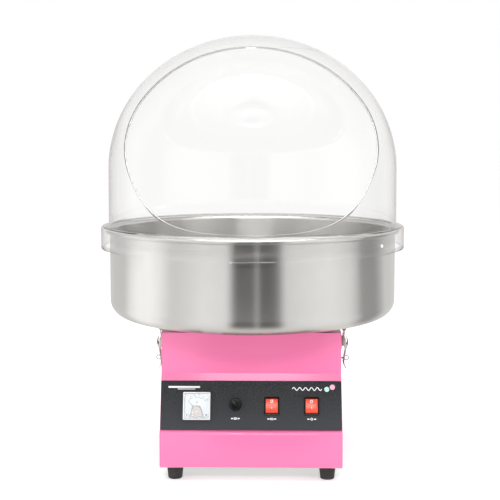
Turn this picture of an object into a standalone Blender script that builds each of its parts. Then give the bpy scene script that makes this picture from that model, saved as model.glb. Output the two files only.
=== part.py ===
"""Cotton candy machine: painted sheet-steel base, spun-metal bowl, spinner head and clear dome.

Metres, +Z up. The origin is on the floor, under the spinner's axis, and the front faces -Y.
Each object is one real piece. Pieces that move have their origin on their joint's axis.
"""

import math

import bmesh
import bpy
from mathutils import Matrix, Vector

MM = 0.001
GAP = 0.3 * MM
SHEET = 1.5 * MM

# Base, seen from the side: Y of each front face, Z of each bend
BASE_HALF_WIDTH = 154 * MM
BASE_BACK = 142 * MM
UPPER_FRONT = -142 * MM
PANEL_TOP_Y, PANEL_TOP_Z = -148 * MM, 167 * MM
PANEL_BOTTOM_Y, PANEL_BOTTOM_Z = -172 * MM, 88 * MM
FLARE_Z = 178 * MM
LOWER_FRONT = -180 * MM
LEDGE_RADIUS, TOE_RADIUS = 8 * MM, 8 * MM
BASE_BOTTOM = 24 * MM
DECK_TOP = 248 * MM
FOOT_RADIUS, FOOT_TIP_RADIUS = 14.5 * MM, 12 * MM
FOOT_STUD_RADIUS, FOOT_STUD_LENGTH = 3 * MM, 9 * MM
FOOT_X, FOOT_FRONT_Y, FOOT_BACK_Y = 130 * MM, -150 * MM, 118 * MM
REAR_SCREW_X, REAR_SCREW_HEIGHTS = 147 * MM, (50 * MM, 222 * MM)
SIDE_FLANGE = 14 * MM
VENTS, VENT_BOTTOM, VENT_PITCH, VENT_SIZE = 6, 118 * MM, 14 * MM, (150 * MM, 3.6 * MM)
INTAKES_EACH_SIDE, INTAKE_SIZE = 3, (3.6 * MM, 90 * MM)
INLET_AT, INLET_BODY, INLET_SOCKET = (92 * MM, 62 * MM), (27.2 * MM, 19.8 * MM), (24.4 * MM, 16.8 * MM)
INLET_FLANGE, INLET_DEPTH = (48 * MM, 24 * MM), 22 * MM
DECK_HOLE_RADIUS = 42 * MM

# Bowl and dome, turned about the Z axis
BOWL_RADIUS = 260 * MM
BOWL_BOTTOM = 262 * MM
BOWL_WALL = 1.5 * MM
BOWL_CORNER = 28 * MM
BOWL_HOLE_RADIUS = 60 * MM
BEAD_CENTRE_R, BEAD_CENTRE_Z, BEAD_RADIUS = 265 * MM, 415.6 * MM, 4.3 * MM
DOME_RADIUS = 262 * MM
DOME_WALL = 3 * MM
DOME_SPRING_Z = 525 * MM
DOME_CAP_HEIGHT = 242 * MM
SKIRT_RADIUS = 276 * MM
SKIRT_BOTTOM = 384 * MM
FLANGE_TOP = 423.2 * MM
MOUTH_SILL_Z = 426 * MM
MOUTH_BACK_Y = -130 * MM
STUD_ANGLE, STUD_Z = math.radians(52), 400 * MM
COLLAR_BORE, COLLAR_SPIGOT, COLLAR_FOOT = 50 * MM, 57 * MM, 122 * MM
COLLAR_SEAT_Z, COLLAR_TOP_Z = 258 * MM, 272 * MM
GASKET_INNER, GASKET_OUTER = 62 * MM, 116 * MM

# Control panel: places are (across, up the slope) from the middle of the sloping face
PANEL_TILT = math.atan2(PANEL_TOP_Y - PANEL_BOTTOM_Y, PANEL_TOP_Z - PANEL_BOTTOM_Z)
PANEL_LENGTH = math.hypot(PANEL_TOP_Y - PANEL_BOTTOM_Y, PANEL_TOP_Z - PANEL_BOTTOM_Z)
PANEL_FACE = 1.5 * MM
METER_AT, METER_SIDE, METER_RIM = (-92 * MM, -1.5 * MM), 46 * MM, 2.2 * MM
METER_BARREL_RADIUS = 18.5 * MM
METER_PIVOT_DROP = 7.4 * MM
METER_REST_ANGLE = math.radians(43.7)
COVER_FOOT, COVER_ARCH, COVER_DROP = 12.5 * MM, 8 * MM, 17.5 * MM
FUSE_AT, FUSE_BARREL_RADIUS = (-26.5 * MM, 1.5 * MM), 7.4 * MM
HEAT_AT, POWER_AT = (35 * MM, -1 * MM), (102.5 * MM, -1 * MM)
SWITCH_WIDTH, SWITCH_HEIGHT = 25.5 * MM, 30 * MM
SWITCH_BARREL = (22.6 * MM, 27.2 * MM)
CUTOUT_PLAY = 0.6 * MM
ROCKER_WIDTH, ROCKER_RADIUS = 20.7 * MM, 12.6 * MM
ROCKER_PIVOT_DEPTH = 4 * MM
ROCKER_REST_TILT = math.radians(9)

# Drive and spinner head, on the Z axis
SHAFT_RADIUS = 5 * MM
MOTOR_RADIUS, MOTOR_BOTTOM, MOTOR_TOP = 48 * MM, 100 * MM, 202 * MM
BRACKET_WEB_Z, BRACKET_HALF_WIDTH = 203.5 * MM, 36 * MM
FAN_BOTTOM, FAN_TOP, FAN_RADIUS = 80 * MM, 94 * MM, 44 * MM
SHAFT_BOTTOM, SHAFT_BORE = 74 * MM, 2.5 * MM
RING_HEIGHTS, RING_RADIUS = (216 * MM, 228 * MM), 13 * MM
HEAD_RADIUS = 62 * MM
HEAD_FLOOR = 310 * MM
HEAD_TOP = 342 * MM
BAND_OUTER, BAND_INNER, BAND_SLOTS = 58.5 * MM, 57 * MM, 18
HEATER_INNER, HEATER_OUTER = 43 * MM, 49 * MM

# Draw latches: (distance out from the Z axis, height) in the plane through the latch
LATCH_PIVOT = (168.6 * MM, 210.5 * MM)
BAIL_FOOT = (167.4 * MM, 201.1 * MM)
BAIL_TOP = (169.6 * MM, 229.3 * MM)
EYE_CENTRE = (174.3 * MM, 174.5 * MM)
STRIP = 1.4 * MM
PLATE_BOTTOM, PLATE_TOP, PLATE_HALF = 168 * MM, 219 * MM, 12 * MM
EAR_IN, EAR_OUT = 6.5 * MM, 8 * MM
CHEEK_IN, CHEEK_OUT = 8.4 * MM, 9.8 * MM
PIN_RADIUS, PIN_HOLE_RADIUS = 1.75 * MM, 2.1 * MM
WIRE_RADIUS, WIRE_HOLE_RADIUS = 1.1 * MM, 1.5 * MM

SEGMENTS_LARGE = 44
SEGMENTS_MEDIUM = 36
SEGMENTS_SMALL = 16


# ---------------------------------------------------------------- materials


def finish(name, colour, roughness, metallic=0.0, alpha=1.0):
    found = bpy.data.materials.get(name)
    if found:
        return found
    made = bpy.data.materials.new(name)
    made.use_nodes = True
    shader = made.node_tree.nodes["Principled BSDF"]
    shader.inputs["Base Color"].default_value = (*colour, 1.0)
    shader.inputs["Roughness"].default_value = roughness
    shader.inputs["Metallic"].default_value = metallic
    shader.inputs["Alpha"].default_value = alpha
    made.diffuse_color = (*colour, alpha)
    return made


def pink_paint():
    return finish("pink_paint", (0.86, 0.19, 0.41), 0.35)


def black_plastic():
    return finish("black_plastic", (0.02, 0.02, 0.022), 0.45)


def black_rubber():
    return finish("black_rubber", (0.015, 0.015, 0.015), 0.8)


def brushed_steel():
    return finish("brushed_steel", (0.66, 0.65, 0.63), 0.3, 1.0)


def plated_steel():
    return finish("plated_steel", (0.7, 0.68, 0.64), 0.25, 1.0)


def cast_aluminium():
    return finish("cast_aluminium", (0.72, 0.72, 0.73), 0.4, 1.0)


def clear_plastic():
    return finish("clear_plastic", (0.9, 0.91, 0.91), 0.05, 0.0, 0.25)


# ---------------------------------------------------------------- shapes


def object_from(name, bm, material, parent=None, sharp_degrees=40):
    """Makes an object from a bmesh, faces outwards, with smooth shading between sharp edges."""
    bmesh.ops.recalc_face_normals(bm, faces=bm.faces)
    mesh = bpy.data.meshes.new(name)
    bm.to_mesh(mesh)
    bm.free()
    mesh.materials.append(material)
    mesh.shade_smooth()
    mesh.set_sharp_from_angle(angle=math.radians(sharp_degrees))
    made = bpy.data.objects.new(name, mesh)
    made.parent = parent
    bpy.context.scene.collection.objects.link(made)
    return made


def extruded(name, outline, axis, low, high, material, parent=None):
    """A prism: the outline lies in the plane across the axis, in X, Y, Z order."""
    place = {
        "X": lambda a, b: (low, a, b),
        "Y": lambda a, b: (a, low, b),
        "Z": lambda a, b: (a, b, low),
    }[axis]
    bm = bmesh.new()
    face = bm.faces.new([bm.verts.new(place(a, b)) for a, b in outline])
    grown = bmesh.ops.extrude_face_region(bm, geom=[face])
    tops = [item for item in grown["geom"] if isinstance(item, bmesh.types.BMVert)]
    shift = Vector([(high - low) * (axis == letter) for letter in "XYZ"])
    bmesh.ops.translate(bm, verts=tops, vec=shift)
    return object_from(name, bm, material, parent)


def block(name, low, high, material, parent=None):
    outline = [(low[0], low[1]), (high[0], low[1]), (high[0], high[1]), (low[0], high[1])]
    return extruded(name, outline, "Z", low[2], high[2], material, parent)


def turned(name, profile, material, segments=SEGMENTS_MEDIUM, parent=None):
    """Spins (radius, height) points about Z. A profile that starts and ends on the axis stays open there."""
    bm = bmesh.new()
    verts = [bm.verts.new((radius, 0, height)) for radius, height in profile]
    pairs = list(zip(verts, verts[1:]))
    if profile[0][0] > 0:
        pairs.append((verts[-1], verts[0]))
    edges = [bm.edges.new(pair) for pair in pairs]
    bmesh.ops.spin(
        bm, geom=verts + edges, axis=(0, 0, 1), cent=(0, 0, 0), angle=math.tau, steps=segments
    )
    bmesh.ops.remove_doubles(bm, verts=bm.verts, dist=1e-6)
    return object_from(name, bm, material, parent)


def rod(name, start, end, radius, material, segments=SEGMENTS_SMALL, parent=None):
    """A round bar between two points."""
    start, end = Vector(start), Vector(end)
    made = turned(
        name, [(0, 0), (radius, 0), (radius, (end - start).length), (0, (end - start).length)],
        material, segments, parent,
    )
    turn = Vector((0, 0, 1)).rotation_difference(end - start).to_matrix().to_4x4()
    made.data.transform(Matrix.Translation(start) @ turn)
    return made


def drill(target, start, end, radius, segments=12):
    """Cuts a round hole along a line."""
    name = f"{target.name}_drill_{len(target.modifiers)}"
    cut(target, rod(name, start, end, radius, black_plastic(), segments, target.parent))


def circle(centre, radius, count, start=0.0, sweep=math.tau):
    """Points on an arc. A full circle leaves out the last point, which is the first again."""
    last = count if sweep >= math.tau else count - 1
    angles = [start + sweep * i / last for i in range(count)]
    return [(centre[0] + radius * math.cos(a), centre[1] + radius * math.sin(a)) for a in angles]


def rectangle(centre, width, height, corner=0.0, steps=3):
    """A rectangle about a centre, with round corners where a corner radius is given."""
    half_w, half_h = width / 2 - corner, height / 2 - corner
    points = []
    corners = [(half_w, half_h), (-half_w, half_h), (-half_w, -half_h), (half_w, -half_h)]
    for turn, (x, y) in enumerate(corners):
        middle = (centre[0] + x, centre[1] + y)
        if corner:
            points += circle(middle, corner, steps, turn * math.pi / 2, math.pi / 2)
        else:
            points.append(middle)
    return points


def ribbon(path, thickness):
    """The outline of a bent strip whose middle line is the path."""
    sides = ([], [])
    for i, (a, b) in enumerate(path):
        before = Vector(path[max(i - 1, 0)])
        after = Vector(path[min(i + 1, len(path) - 1)])
        here = Vector((a, b))
        arms = [arm.normalized() for arm in (here - before, after - here) if arm.length > 0]
        along = sum(arms, Vector((0, 0))).normalized()
        reach = thickness / 2 / max(along.dot(arms[0]), 0.3)
        normal = Vector((-along.y, along.x)) * reach
        sides[0].append(tuple(here + normal))
        sides[1].append(tuple(here - normal))
    return sides[0] + sides[1][::-1]


def curve_points(a, b, c, d, count):
    """Points on a cubic Bezier curve, ends included."""
    a, b, c, d = (Vector(p) for p in (a, b, c, d))
    found = []
    for i in range(count):
        t = i / (count - 1)
        s = 1 - t
        found.append(tuple(a * s**3 + b * 3 * s * s * t + c * 3 * s * t * t + d * t**3))
    return found


def combine(target, tool, operation):
    modifier = target.modifiers.new(operation.lower(), "BOOLEAN")
    modifier.operation = operation
    modifier.solver = "EXACT"
    modifier.object = tool
    tool.hide_render = True
    tool.display_type = "WIRE"


def cut(target, *tools):
    for tool in tools:
        combine(target, tool, "DIFFERENCE")


def join(target, *tools):
    for tool in tools:
        combine(target, tool, "UNION")


def put_origin_at(made, point):
    """Moves an object's origin to a point of its parent's space, and leaves its shape where it is."""
    made.data.transform(Matrix.Translation(-Vector(point)))
    made.location = point


def empty(name, location, rotation=(0, 0, 0)):
    made = bpy.data.objects.new(name, None)
    made.location = location
    made.rotation_euler = rotation
    bpy.context.scene.collection.objects.link(made)
    return made


# ---------------------------------------------------------------- base


def front_outline():
    """The bends of the front sheet's outer face, from the deck down to the bottom return."""
    ledge_middle = (LOWER_FRONT + LEDGE_RADIUS, PANEL_BOTTOM_Z - LEDGE_RADIUS)
    toe_middle = (LOWER_FRONT + TOE_RADIUS, BASE_BOTTOM + TOE_RADIUS)
    return [
        (UPPER_FRONT, DECK_TOP),
        (UPPER_FRONT, FLARE_Z + 1.5 * MM),
        (UPPER_FRONT - 1.0 * MM, FLARE_Z - 1.0 * MM),
        (PANEL_TOP_Y, PANEL_TOP_Z),
        *circle(ledge_middle, LEDGE_RADIUS, 5, math.pi / 2, math.pi / 2),
        *circle(toe_middle, TOE_RADIUS, 5, math.pi, math.pi / 2),
        (LOWER_FRONT + 15 * MM, BASE_BOTTOM),
    ]


def inset_outline(points, distance):
    """The same bends moved square inwards, behind the front sheet."""
    outer_to_inner = ribbon(points, 2 * distance)
    return outer_to_inner[: len(points)]


def front_fascia():
    outer = front_outline()
    outline = outer + inset_outline(outer, SHEET)[::-1]
    made = extruded("front_fascia", outline, "X", -BASE_HALF_WIDTH, BASE_HALF_WIDTH, pink_paint())
    cut(made, *panel_cutters("fascia"))
    return made


def side_panel(name, side):
    """A flat side whose front edge follows the front sheet, with a flange that the rear cover screws to."""
    front = inset_outline(front_outline(), SHEET + GAP)
    bottom, top = BASE_BOTTOM + SHEET + GAP, DECK_TOP - SHEET - GAP
    back = BASE_BACK - SHEET - GAP
    front = [(y, min(max(z, bottom), top)) for y, z in front[:-1]]
    outline = [*front, (back, bottom), (back, top)]
    outer = side * BASE_HALF_WIDTH
    low, high = sorted([outer, outer - side * SHEET])
    made = extruded(name, outline, "X", low, high, pink_paint())
    near, far = sorted([outer - side * 0.5 * MM, outer - side * SIDE_FLANGE])
    flange = block(
        name + "_flange", (near, back - SHEET, bottom + 2 * MM), (far, back, top - 2 * MM), pink_paint()
    )
    join(made, flange)
    drill_rear_holes(made, side)


def drill_rear_holes(target, side):
    x, play = side * REAR_SCREW_X, 8 * MM
    for height in REAR_SCREW_HEIGHTS:
        drill(target, (x, BASE_BACK - play, height), (x, BASE_BACK + play, height), 2.1 * MM)


def rear_cover():
    bottom, top = BASE_BOTTOM + SHEET + GAP, DECK_TOP - SHEET - GAP
    face = rectangle((0, (bottom + top) / 2), 2 * BASE_HALF_WIDTH, top - bottom)
    made = extruded("rear_cover", face, "Y", BASE_BACK - SHEET, BASE_BACK, pink_paint())
    near, far = BASE_BACK - 5 * MM, BASE_BACK + 5 * MM
    for row in range(VENTS):
        vent = rectangle((0, VENT_BOTTOM + row * VENT_PITCH), *VENT_SIZE, 1.7 * MM)
        cut(made, extruded(f"vent_cutter_{row}", vent, "Y", near, far, pink_paint()))
    opening = rectangle(INLET_AT, INLET_BODY[0] + 0.8 * MM, INLET_BODY[1] + 0.8 * MM)
    cut(made, extruded("inlet_cutter", opening, "Y", near, far, pink_paint()))
    for side in (-1, 1):
        drill_rear_holes(made, side)


def rear_screws():
    """Pan-head screws: a shank through both sheets and a head on the cover."""
    shank, head, length = 1.7 * MM, 3.6 * MM, 7 * MM
    profile = [
        (0, -length), (shank, -length), (shank, GAP), (head, GAP), (head, 1.4 * MM), (2.4 * MM, 2.3 * MM),
        (0, 2.5 * MM),
    ]
    places = [(side * REAR_SCREW_X, height) for side in (-1, 1) for height in REAR_SCREW_HEIGHTS]
    for number, (x, height) in enumerate(places, 1):
        made = turned(f"rear_screw_{number}", profile, plated_steel(), 12)
        made.data.transform(Matrix.Rotation(-math.pi / 2, 4, "X"))
        made.location = (x, BASE_BACK, height)


def top_deck():
    made = block(
        "top_deck",
        (-BASE_HALF_WIDTH, UPPER_FRONT + SHEET + GAP, DECK_TOP - SHEET),
        (BASE_HALF_WIDTH, BASE_BACK, DECK_TOP),
        pink_paint(),
    )
    drill(made, (0, 0, DECK_TOP - 10 * MM), (0, 0, DECK_TOP + 10 * MM), DECK_HOLE_RADIUS, 32)


def bottom_plate():
    made = block(
        "bottom_plate",
        (-BASE_HALF_WIDTH, LOWER_FRONT + 15 * MM + GAP, BASE_BOTTOM),
        (BASE_HALF_WIDTH, BASE_BACK, BASE_BOTTOM + SHEET),
        finish("zinc_sheet", (0.6, 0.6, 0.6), 0.4, 1.0),
    )
    half_width, half_length = INTAKE_SIZE[0] / 2, INTAKE_SIZE[1] / 2
    for column in range(-INTAKES_EACH_SIDE, INTAKES_EACH_SIDE + 1):
        x = column * VENT_PITCH
        low = (x - half_width, -half_length, BASE_BOTTOM - 5 * MM)
        high = (x + half_width, half_length, BASE_BOTTOM + 5 * MM)
        cut(made, block(f"intake_cutter_{column}", low, high, pink_paint()))
    for x, y in foot_places().values():
        drill(made, (x, y, 0), (x, y, BASE_BOTTOM + 10 * MM), FOOT_STUD_RADIUS + 0.4 * MM)


def foot_places():
    return {
        f"foot_{end}_{side}": (x, y)
        for end, y in (("front", FOOT_FRONT_Y), ("rear", FOOT_BACK_Y))
        for side, x in (("left", -FOOT_X), ("right", FOOT_X))
    }


def feet():
    top, recess, tread = BASE_BOTTOM - GAP, 3 * MM, 5 * MM
    stud_top = top + FOOT_STUD_LENGTH
    profile = [
        (0, recess), (tread, recess), (tread, 0), (FOOT_TIP_RADIUS - 1 * MM, 0), (FOOT_TIP_RADIUS, 1 * MM),
        (FOOT_RADIUS, top), (FOOT_STUD_RADIUS, top), (FOOT_STUD_RADIUS, stud_top), (0, stud_top),
    ]
    for name, (x, y) in foot_places().items():
        turned(name, profile, black_rubber(), 16).location = (x, y, 0)


# ---------------------------------------------------------------- control panel


def panel_frame():
    """A frame on the sloping face: X across, Y up the slope, Z out of the face."""
    found = bpy.data.objects.get("panel_frame")
    if found:
        return found
    middle = ((PANEL_TOP_Y + PANEL_BOTTOM_Y) / 2, (PANEL_TOP_Z + PANEL_BOTTOM_Z) / 2)
    return empty("panel_frame", (0, *middle), (math.pi / 2 - PANEL_TILT, 0, 0))


def panel_cutters(prefix):
    """Cut-outs for the meter's barrel, the fuse holder and both switches, through panel and sheet."""
    frame = panel_frame()
    switch_size = [side + CUTOUT_PLAY for side in SWITCH_BARREL]
    outlines = {
        "meter": circle(METER_AT, METER_BARREL_RADIUS + CUTOUT_PLAY, 32),
        "fuse": circle(FUSE_AT, FUSE_BARREL_RADIUS + CUTOUT_PLAY, 20),
        "heat": rectangle(HEAT_AT, *switch_size),
        "power": rectangle(POWER_AT, *switch_size),
    }
    return [
        extruded(f"{prefix}_{key}_cutter", outline, "Z", -6 * MM, 6 * MM, black_plastic(), frame)
        for key, outline in outlines.items()
    ]


def control_panel():
    face = rectangle((0, 0), 2 * BASE_HALF_WIDTH - 1 * MM, PANEL_LENGTH - 1 * MM, 1 * MM, 2)
    made = extruded("control_panel", face, "Z", GAP, PANEL_FACE, black_plastic(), panel_frame())
    cut(made, *panel_cutters("panel"))


def meter():
    """Case with a barrel behind it, dial plate, needle, cover over the movement, and lens."""
    frame = panel_frame()
    x, y = METER_AT
    base = PANEL_FACE + GAP
    front = base + 8 * MM
    dial_top = base + 2.7 * MM
    window = METER_SIDE - 2 * METER_RIM
    white = finish("white_plastic", (0.85, 0.86, 0.86), 0.35)

    def layer(name, side, low, high, material=white, corner=0.0):
        return extruded(name, rectangle(METER_AT, side, side, corner, 2), "Z", low, high, material, frame)

    case = layer("meter_case", METER_SIDE, base, front, corner=1.2 * MM)
    barrel_ends = (x, y, base + 1 * MM), (x, y, -24 * MM)
    join(case, rod("meter_barrel", *barrel_ends, METER_BARREL_RADIUS, white, 32, frame))
    cut(case, layer("meter_recess", window, base + 1.6 * MM, front + 5 * MM))
    layer("meter_dial", window - 0.8 * MM, dial_top - 0.8 * MM, dial_top)
    layer("meter_lens", window - 0.8 * MM, front - 1.4 * MM, front - 0.2 * MM, clear_plastic())
    meter_cover(frame, dial_top, white)
    meter_needle(frame, (x, y - METER_PIVOT_DROP, dial_top + 0.5 * MM))


def meter_cover(frame, dial_top, white):
    """A bell-shaped plate that stands over the movement on a foot."""
    x, y = METER_AT
    low = y - COVER_DROP
    outline = [(x - COVER_FOOT, low), (x + COVER_FOOT, low)]
    outline += circle((x, y - COVER_ARCH), COVER_ARCH, 9, math.radians(10), math.radians(160))
    cover = extruded("meter_cover", outline, "Z", dial_top + 2.0 * MM, dial_top + 3.2 * MM, white, frame)
    foot_low = (x - 10 * MM, low + 0.5 * MM, dial_top + GAP)
    foot_high = (x + 10 * MM, low + 3.5 * MM, dial_top + 2.5 * MM)
    join(cover, block("meter_cover_foot", foot_low, foot_high, white, frame))


def meter_needle(frame, pivot):
    """Hub, pointer and tail in one flat outline, resting on the scale's zero at the left."""
    reach, tail, hub = 21.5 * MM, 4.5 * MM, 2 * MM
    ring = circle((0, 0), hub, 8, math.radians(100), math.radians(160))
    other = circle((0, 0), hub, 8, math.radians(280), math.radians(160))
    outline = [(0.15 * MM, reach), (-0.15 * MM, reach), (-0.4 * MM, hub), *ring]
    outline += [(-0.5 * MM, -tail), (0.5 * MM, -tail), *other, (0.4 * MM, hub)]
    turn = Matrix.Rotation(METER_REST_ANGLE, 2)
    outline = [tuple(turn @ Vector(point)) for point in outline]
    made = extruded("meter_needle", outline, "Z", 0, 0.7 * MM, black_plastic(), frame)
    made.location = pivot


def fuse():
    """Fuse holder with its nut behind the panel, the cap with a slanting grip, and the fuse inside."""
    frame = panel_frame()
    base = PANEL_FACE + GAP
    neck = base + 7.2 * MM
    flange, bore, neck_radius = 10.8 * MM, 3.6 * MM, 7.9 * MM
    black = black_plastic()
    holder = turned("fuse_holder", [
        (0, -31 * MM), (FUSE_BARREL_RADIUS, -31 * MM), (FUSE_BARREL_RADIUS, base), (flange, base),
        (flange, base + 1.6 * MM), (10 * MM, base + 2.4 * MM), (neck_radius, base + 2.4 * MM),
        (neck_radius, neck), (bore, neck), (bore, -28 * MM), (0, -28 * MM),
    ], black, 24, frame)
    nut = extruded("fuse_nut", circle((0, 0), 12 * MM, 6), "Z", -6.5 * MM, -SHEET - GAP, black, frame)
    cap_top = base + 12.5 * MM
    inside, skirt, shoulder = 8.3 * MM, 9.3 * MM, 8.1 * MM
    cap = turned("fuse_cap", [
        (0, neck + 1.0 * MM), (inside, neck + 1.0 * MM), (inside, base + 2.8 * MM), (skirt, base + 2.8 * MM),
        (skirt - 0.2 * MM, cap_top - 1 * MM), (shoulder, cap_top), (0, cap_top),
    ], black, 24, frame)
    grip_low, grip_high = (-1.8 * MM, -7 * MM, cap_top - 1 * MM), (1.8 * MM, 7 * MM, cap_top + 1.8 * MM)
    grip = block("fuse_cap_grip", grip_low, grip_high, black, frame)
    grip.rotation_euler = (0, 0, math.radians(45))
    join(cap, grip)
    glass = finish("fuse_glass", (0.8, 0.8, 0.75), 0.1)
    ends = (0, 0, -26 * MM), (0, 0, neck + 0.7 * MM)
    cartridge = rod("fuse_cartridge", *ends, 3.15 * MM, glass, 16, frame)
    for made in (holder, nut, cap, grip, cartridge):
        made.location = (*FUSE_AT, 0)
    drill(nut, (*FUSE_AT, -10 * MM), (*FUSE_AT, 2 * MM), FUSE_BARREL_RADIUS + 0.4 * MM, 24)


def rocker_outline():
    """Two flat halves that meet at a shallow valley, and round ends about the pivot."""
    rise = math.radians(30)
    low = math.radians(-24)
    right = circle((0, 0), ROCKER_RADIUS, 6, low, rise - low)
    left = [(-across, up) for across, up in right[::-1]]
    return right + [(0, ROCKER_PIVOT_DEPTH + 1.2 * MM)] + left


def switch(name, place):
    """A rocker switch: bezel and body in one piece, a rocker tilted off, and four blade terminals."""
    frame = panel_frame()
    base = PANEL_FACE + GAP
    bezel = base + 1.8 * MM
    x, y = place
    black = black_plastic()
    outline = rectangle(place, SWITCH_WIDTH, SWITCH_HEIGHT, 1 * MM, 2)
    body = extruded(f"{name}_switch_body", outline, "Z", base, bezel, black, frame)
    barrel = rectangle(place, *SWITCH_BARREL)
    join(body, extruded(f"{name}_barrel", barrel, "Z", -22 * MM, base + 1 * MM, black, frame))
    for column in (-1, 1):
        for row in (-1, 1):
            across, up = x + column * 5 * MM, y + row * 7 * MM
            low = (across - 0.4 * MM, up - 3.1 * MM, -31 * MM)
            high = (across + 0.4 * MM, up + 3.1 * MM, -21 * MM)
            join(body, block(f"{name}_blade_{column}_{row}", low, high, plated_steel(), frame))
    pocket = rectangle(place, ROCKER_WIDTH + 0.8 * MM, 2 * ROCKER_RADIUS + 0.8 * MM)
    cut(body, extruded(f"{name}_pocket", pocket, "Z", -17 * MM, bezel + 5 * MM, black, frame))
    red = finish("red_rocker", (0.78, 0.1, 0.03), 0.3)
    turn = Matrix.Rotation(-ROCKER_REST_TILT, 2)
    outline = [tuple(turn @ Vector(point)) for point in rocker_outline()]
    half = ROCKER_WIDTH / 2
    rocker = extruded(f"{name}_switch_rocker", outline, "X", -half, half, red, frame)
    rocker.location = (x, y, -ROCKER_PIVOT_DEPTH + base)


# ---------------------------------------------------------------- bowl and dome


def deck_collar():
    low, seat, top = DECK_TOP + GAP, COLLAR_SEAT_Z, COLLAR_TOP_Z
    turned("deck_collar", [
        (COLLAR_BORE, low), (COLLAR_FOOT, low), (COLLAR_FOOT - 2 * MM, seat), (COLLAR_SPIGOT, seat),
        (COLLAR_SPIGOT, top - 1 * MM), (COLLAR_SPIGOT - 1 * MM, top), (COLLAR_BORE, top),
    ], finish("dark_casting", (0.05, 0.045, 0.05), 0.5))
    low, top = seat + GAP, BOWL_BOTTOM - GAP
    ring = [(GASKET_INNER, low), (GASKET_OUTER, low), (GASKET_OUTER, top), (GASKET_INNER, top)]
    turned("bowl_gasket", ring, black_rubber())


def bowl():
    corner_r, corner_z = BOWL_RADIUS - BOWL_CORNER, BOWL_BOTTOM + BOWL_CORNER
    inner_r = BOWL_RADIUS - BOWL_WALL
    outside = circle((corner_r, corner_z), BOWL_CORNER, 5, -math.pi / 2, math.pi / 2)
    inside = circle((corner_r, corner_z), BOWL_CORNER - BOWL_WALL, 5, -math.pi / 2, math.pi / 2)
    bead = circle((BEAD_CENTRE_R, BEAD_CENTRE_Z), BEAD_RADIUS, 7, math.radians(-145), math.radians(290))
    profile = [(BOWL_HOLE_RADIUS, BOWL_BOTTOM), *outside, (BOWL_RADIUS, BEAD_CENTRE_Z - 4 * MM), *bead]
    profile += [(inner_r, BEAD_CENTRE_Z), *inside[::-1], (BOWL_HOLE_RADIUS, BOWL_BOTTOM + BOWL_WALL)]
    turned("bowl", profile, brushed_steel(), SEGMENTS_LARGE)


def dome():
    def cap(radius, height, steps):
        return [
            (radius * math.cos(a), DOME_SPRING_Z + height * math.sin(a))
            for a in (math.pi / 2 * i / steps for i in range(steps))
        ]

    inner = DOME_RADIUS - DOME_WALL
    underside = FLANGE_TOP - DOME_WALL
    profile = [(0, DOME_SPRING_Z + DOME_CAP_HEIGHT - DOME_WALL)]
    profile += cap(inner, DOME_CAP_HEIGHT - DOME_WALL, 9)[::-1]
    profile += [
        (inner, underside), (SKIRT_RADIUS - DOME_WALL, underside),
        (SKIRT_RADIUS - DOME_WALL, SKIRT_BOTTOM),
        (SKIRT_RADIUS, SKIRT_BOTTOM), (SKIRT_RADIUS, FLANGE_TOP - 2 * MM),
        (SKIRT_RADIUS - 2 * MM, FLANGE_TOP),
        (DOME_RADIUS + 1 * MM, FLANGE_TOP), (DOME_RADIUS, FLANGE_TOP + 1 * MM),
    ]
    profile += cap(DOME_RADIUS, DOME_CAP_HEIGHT, 9)
    profile += [(0, DOME_SPRING_Z + DOME_CAP_HEIGHT)]
    made = turned("dome", profile, clear_plastic(), SEGMENTS_LARGE)
    far = 0.4
    sill, top = (-DOME_RADIUS, MOUTH_SILL_Z), (MOUTH_BACK_Y, 640 * MM)
    edge = curve_points(sill, (-190 * MM, 437 * MM), (-133 * MM, 560 * MM), top, 12)
    outline = [*edge, (MOUTH_BACK_Y, 2 * far), (-far, 2 * far), (-far, MOUTH_SILL_Z)]
    cut(made, extruded("mouth_cutter", outline, "X", -far, far, clear_plastic()))
    dome_stud(made)


def dome_stud(target):
    """A stud through the skirt, with its axis level and square to the skirt."""
    out = Vector((math.sin(STUD_ANGLE), -math.cos(STUD_ANGLE), 0))
    inner_end, outer_end = out * (SKIRT_RADIUS - 8 * MM), out * (SKIRT_RADIUS + 8 * MM)
    drill(target, (*inner_end.xy, STUD_Z), (*outer_end.xy, STUD_Z), 1.9 * MM)
    shank, head = 1.5 * MM, 3 * MM
    stud = turned("dome_stud", [
        (0, -5 * MM), (shank, -5 * MM), (shank, 0.4 * MM), (head, 0.4 * MM), (head, 2.2 * MM),
        (2.2 * MM, 3 * MM), (0, 3 * MM),
    ], clear_plastic(), 16)
    stud.data.transform(Vector((0, 0, 1)).rotation_difference(out).to_matrix().to_4x4())
    stud.location = (*(out * SKIRT_RADIUS).xy, STUD_Z)


# ---------------------------------------------------------------- drive and spinner head


def drive():
    bore, edge = SHAFT_RADIUS + GAP, 6 * MM
    turned("motor_body", [
        (bore, MOTOR_BOTTOM), (MOTOR_RADIUS - edge, MOTOR_BOTTOM), (MOTOR_RADIUS, MOTOR_BOTTOM + edge),
        (MOTOR_RADIUS, MOTOR_TOP - edge), (MOTOR_RADIUS - edge, MOTOR_TOP), (bore, MOTOR_TOP),
    ], finish("motor_steel", (0.3, 0.3, 0.31), 0.5, 1.0), 32)
    low, high = SHAFT_BOTTOM, HEAD_FLOOR + 14 * MM
    shaft = [(SHAFT_BORE, low), (SHAFT_RADIUS, low), (SHAFT_RADIUS, high), (SHAFT_BORE, high)]
    turned("motor_shaft", shaft, plated_steel(), 20)
    motor_bracket()
    motor_fan()
    slip_rings(bore)
    brush_holder()


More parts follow.
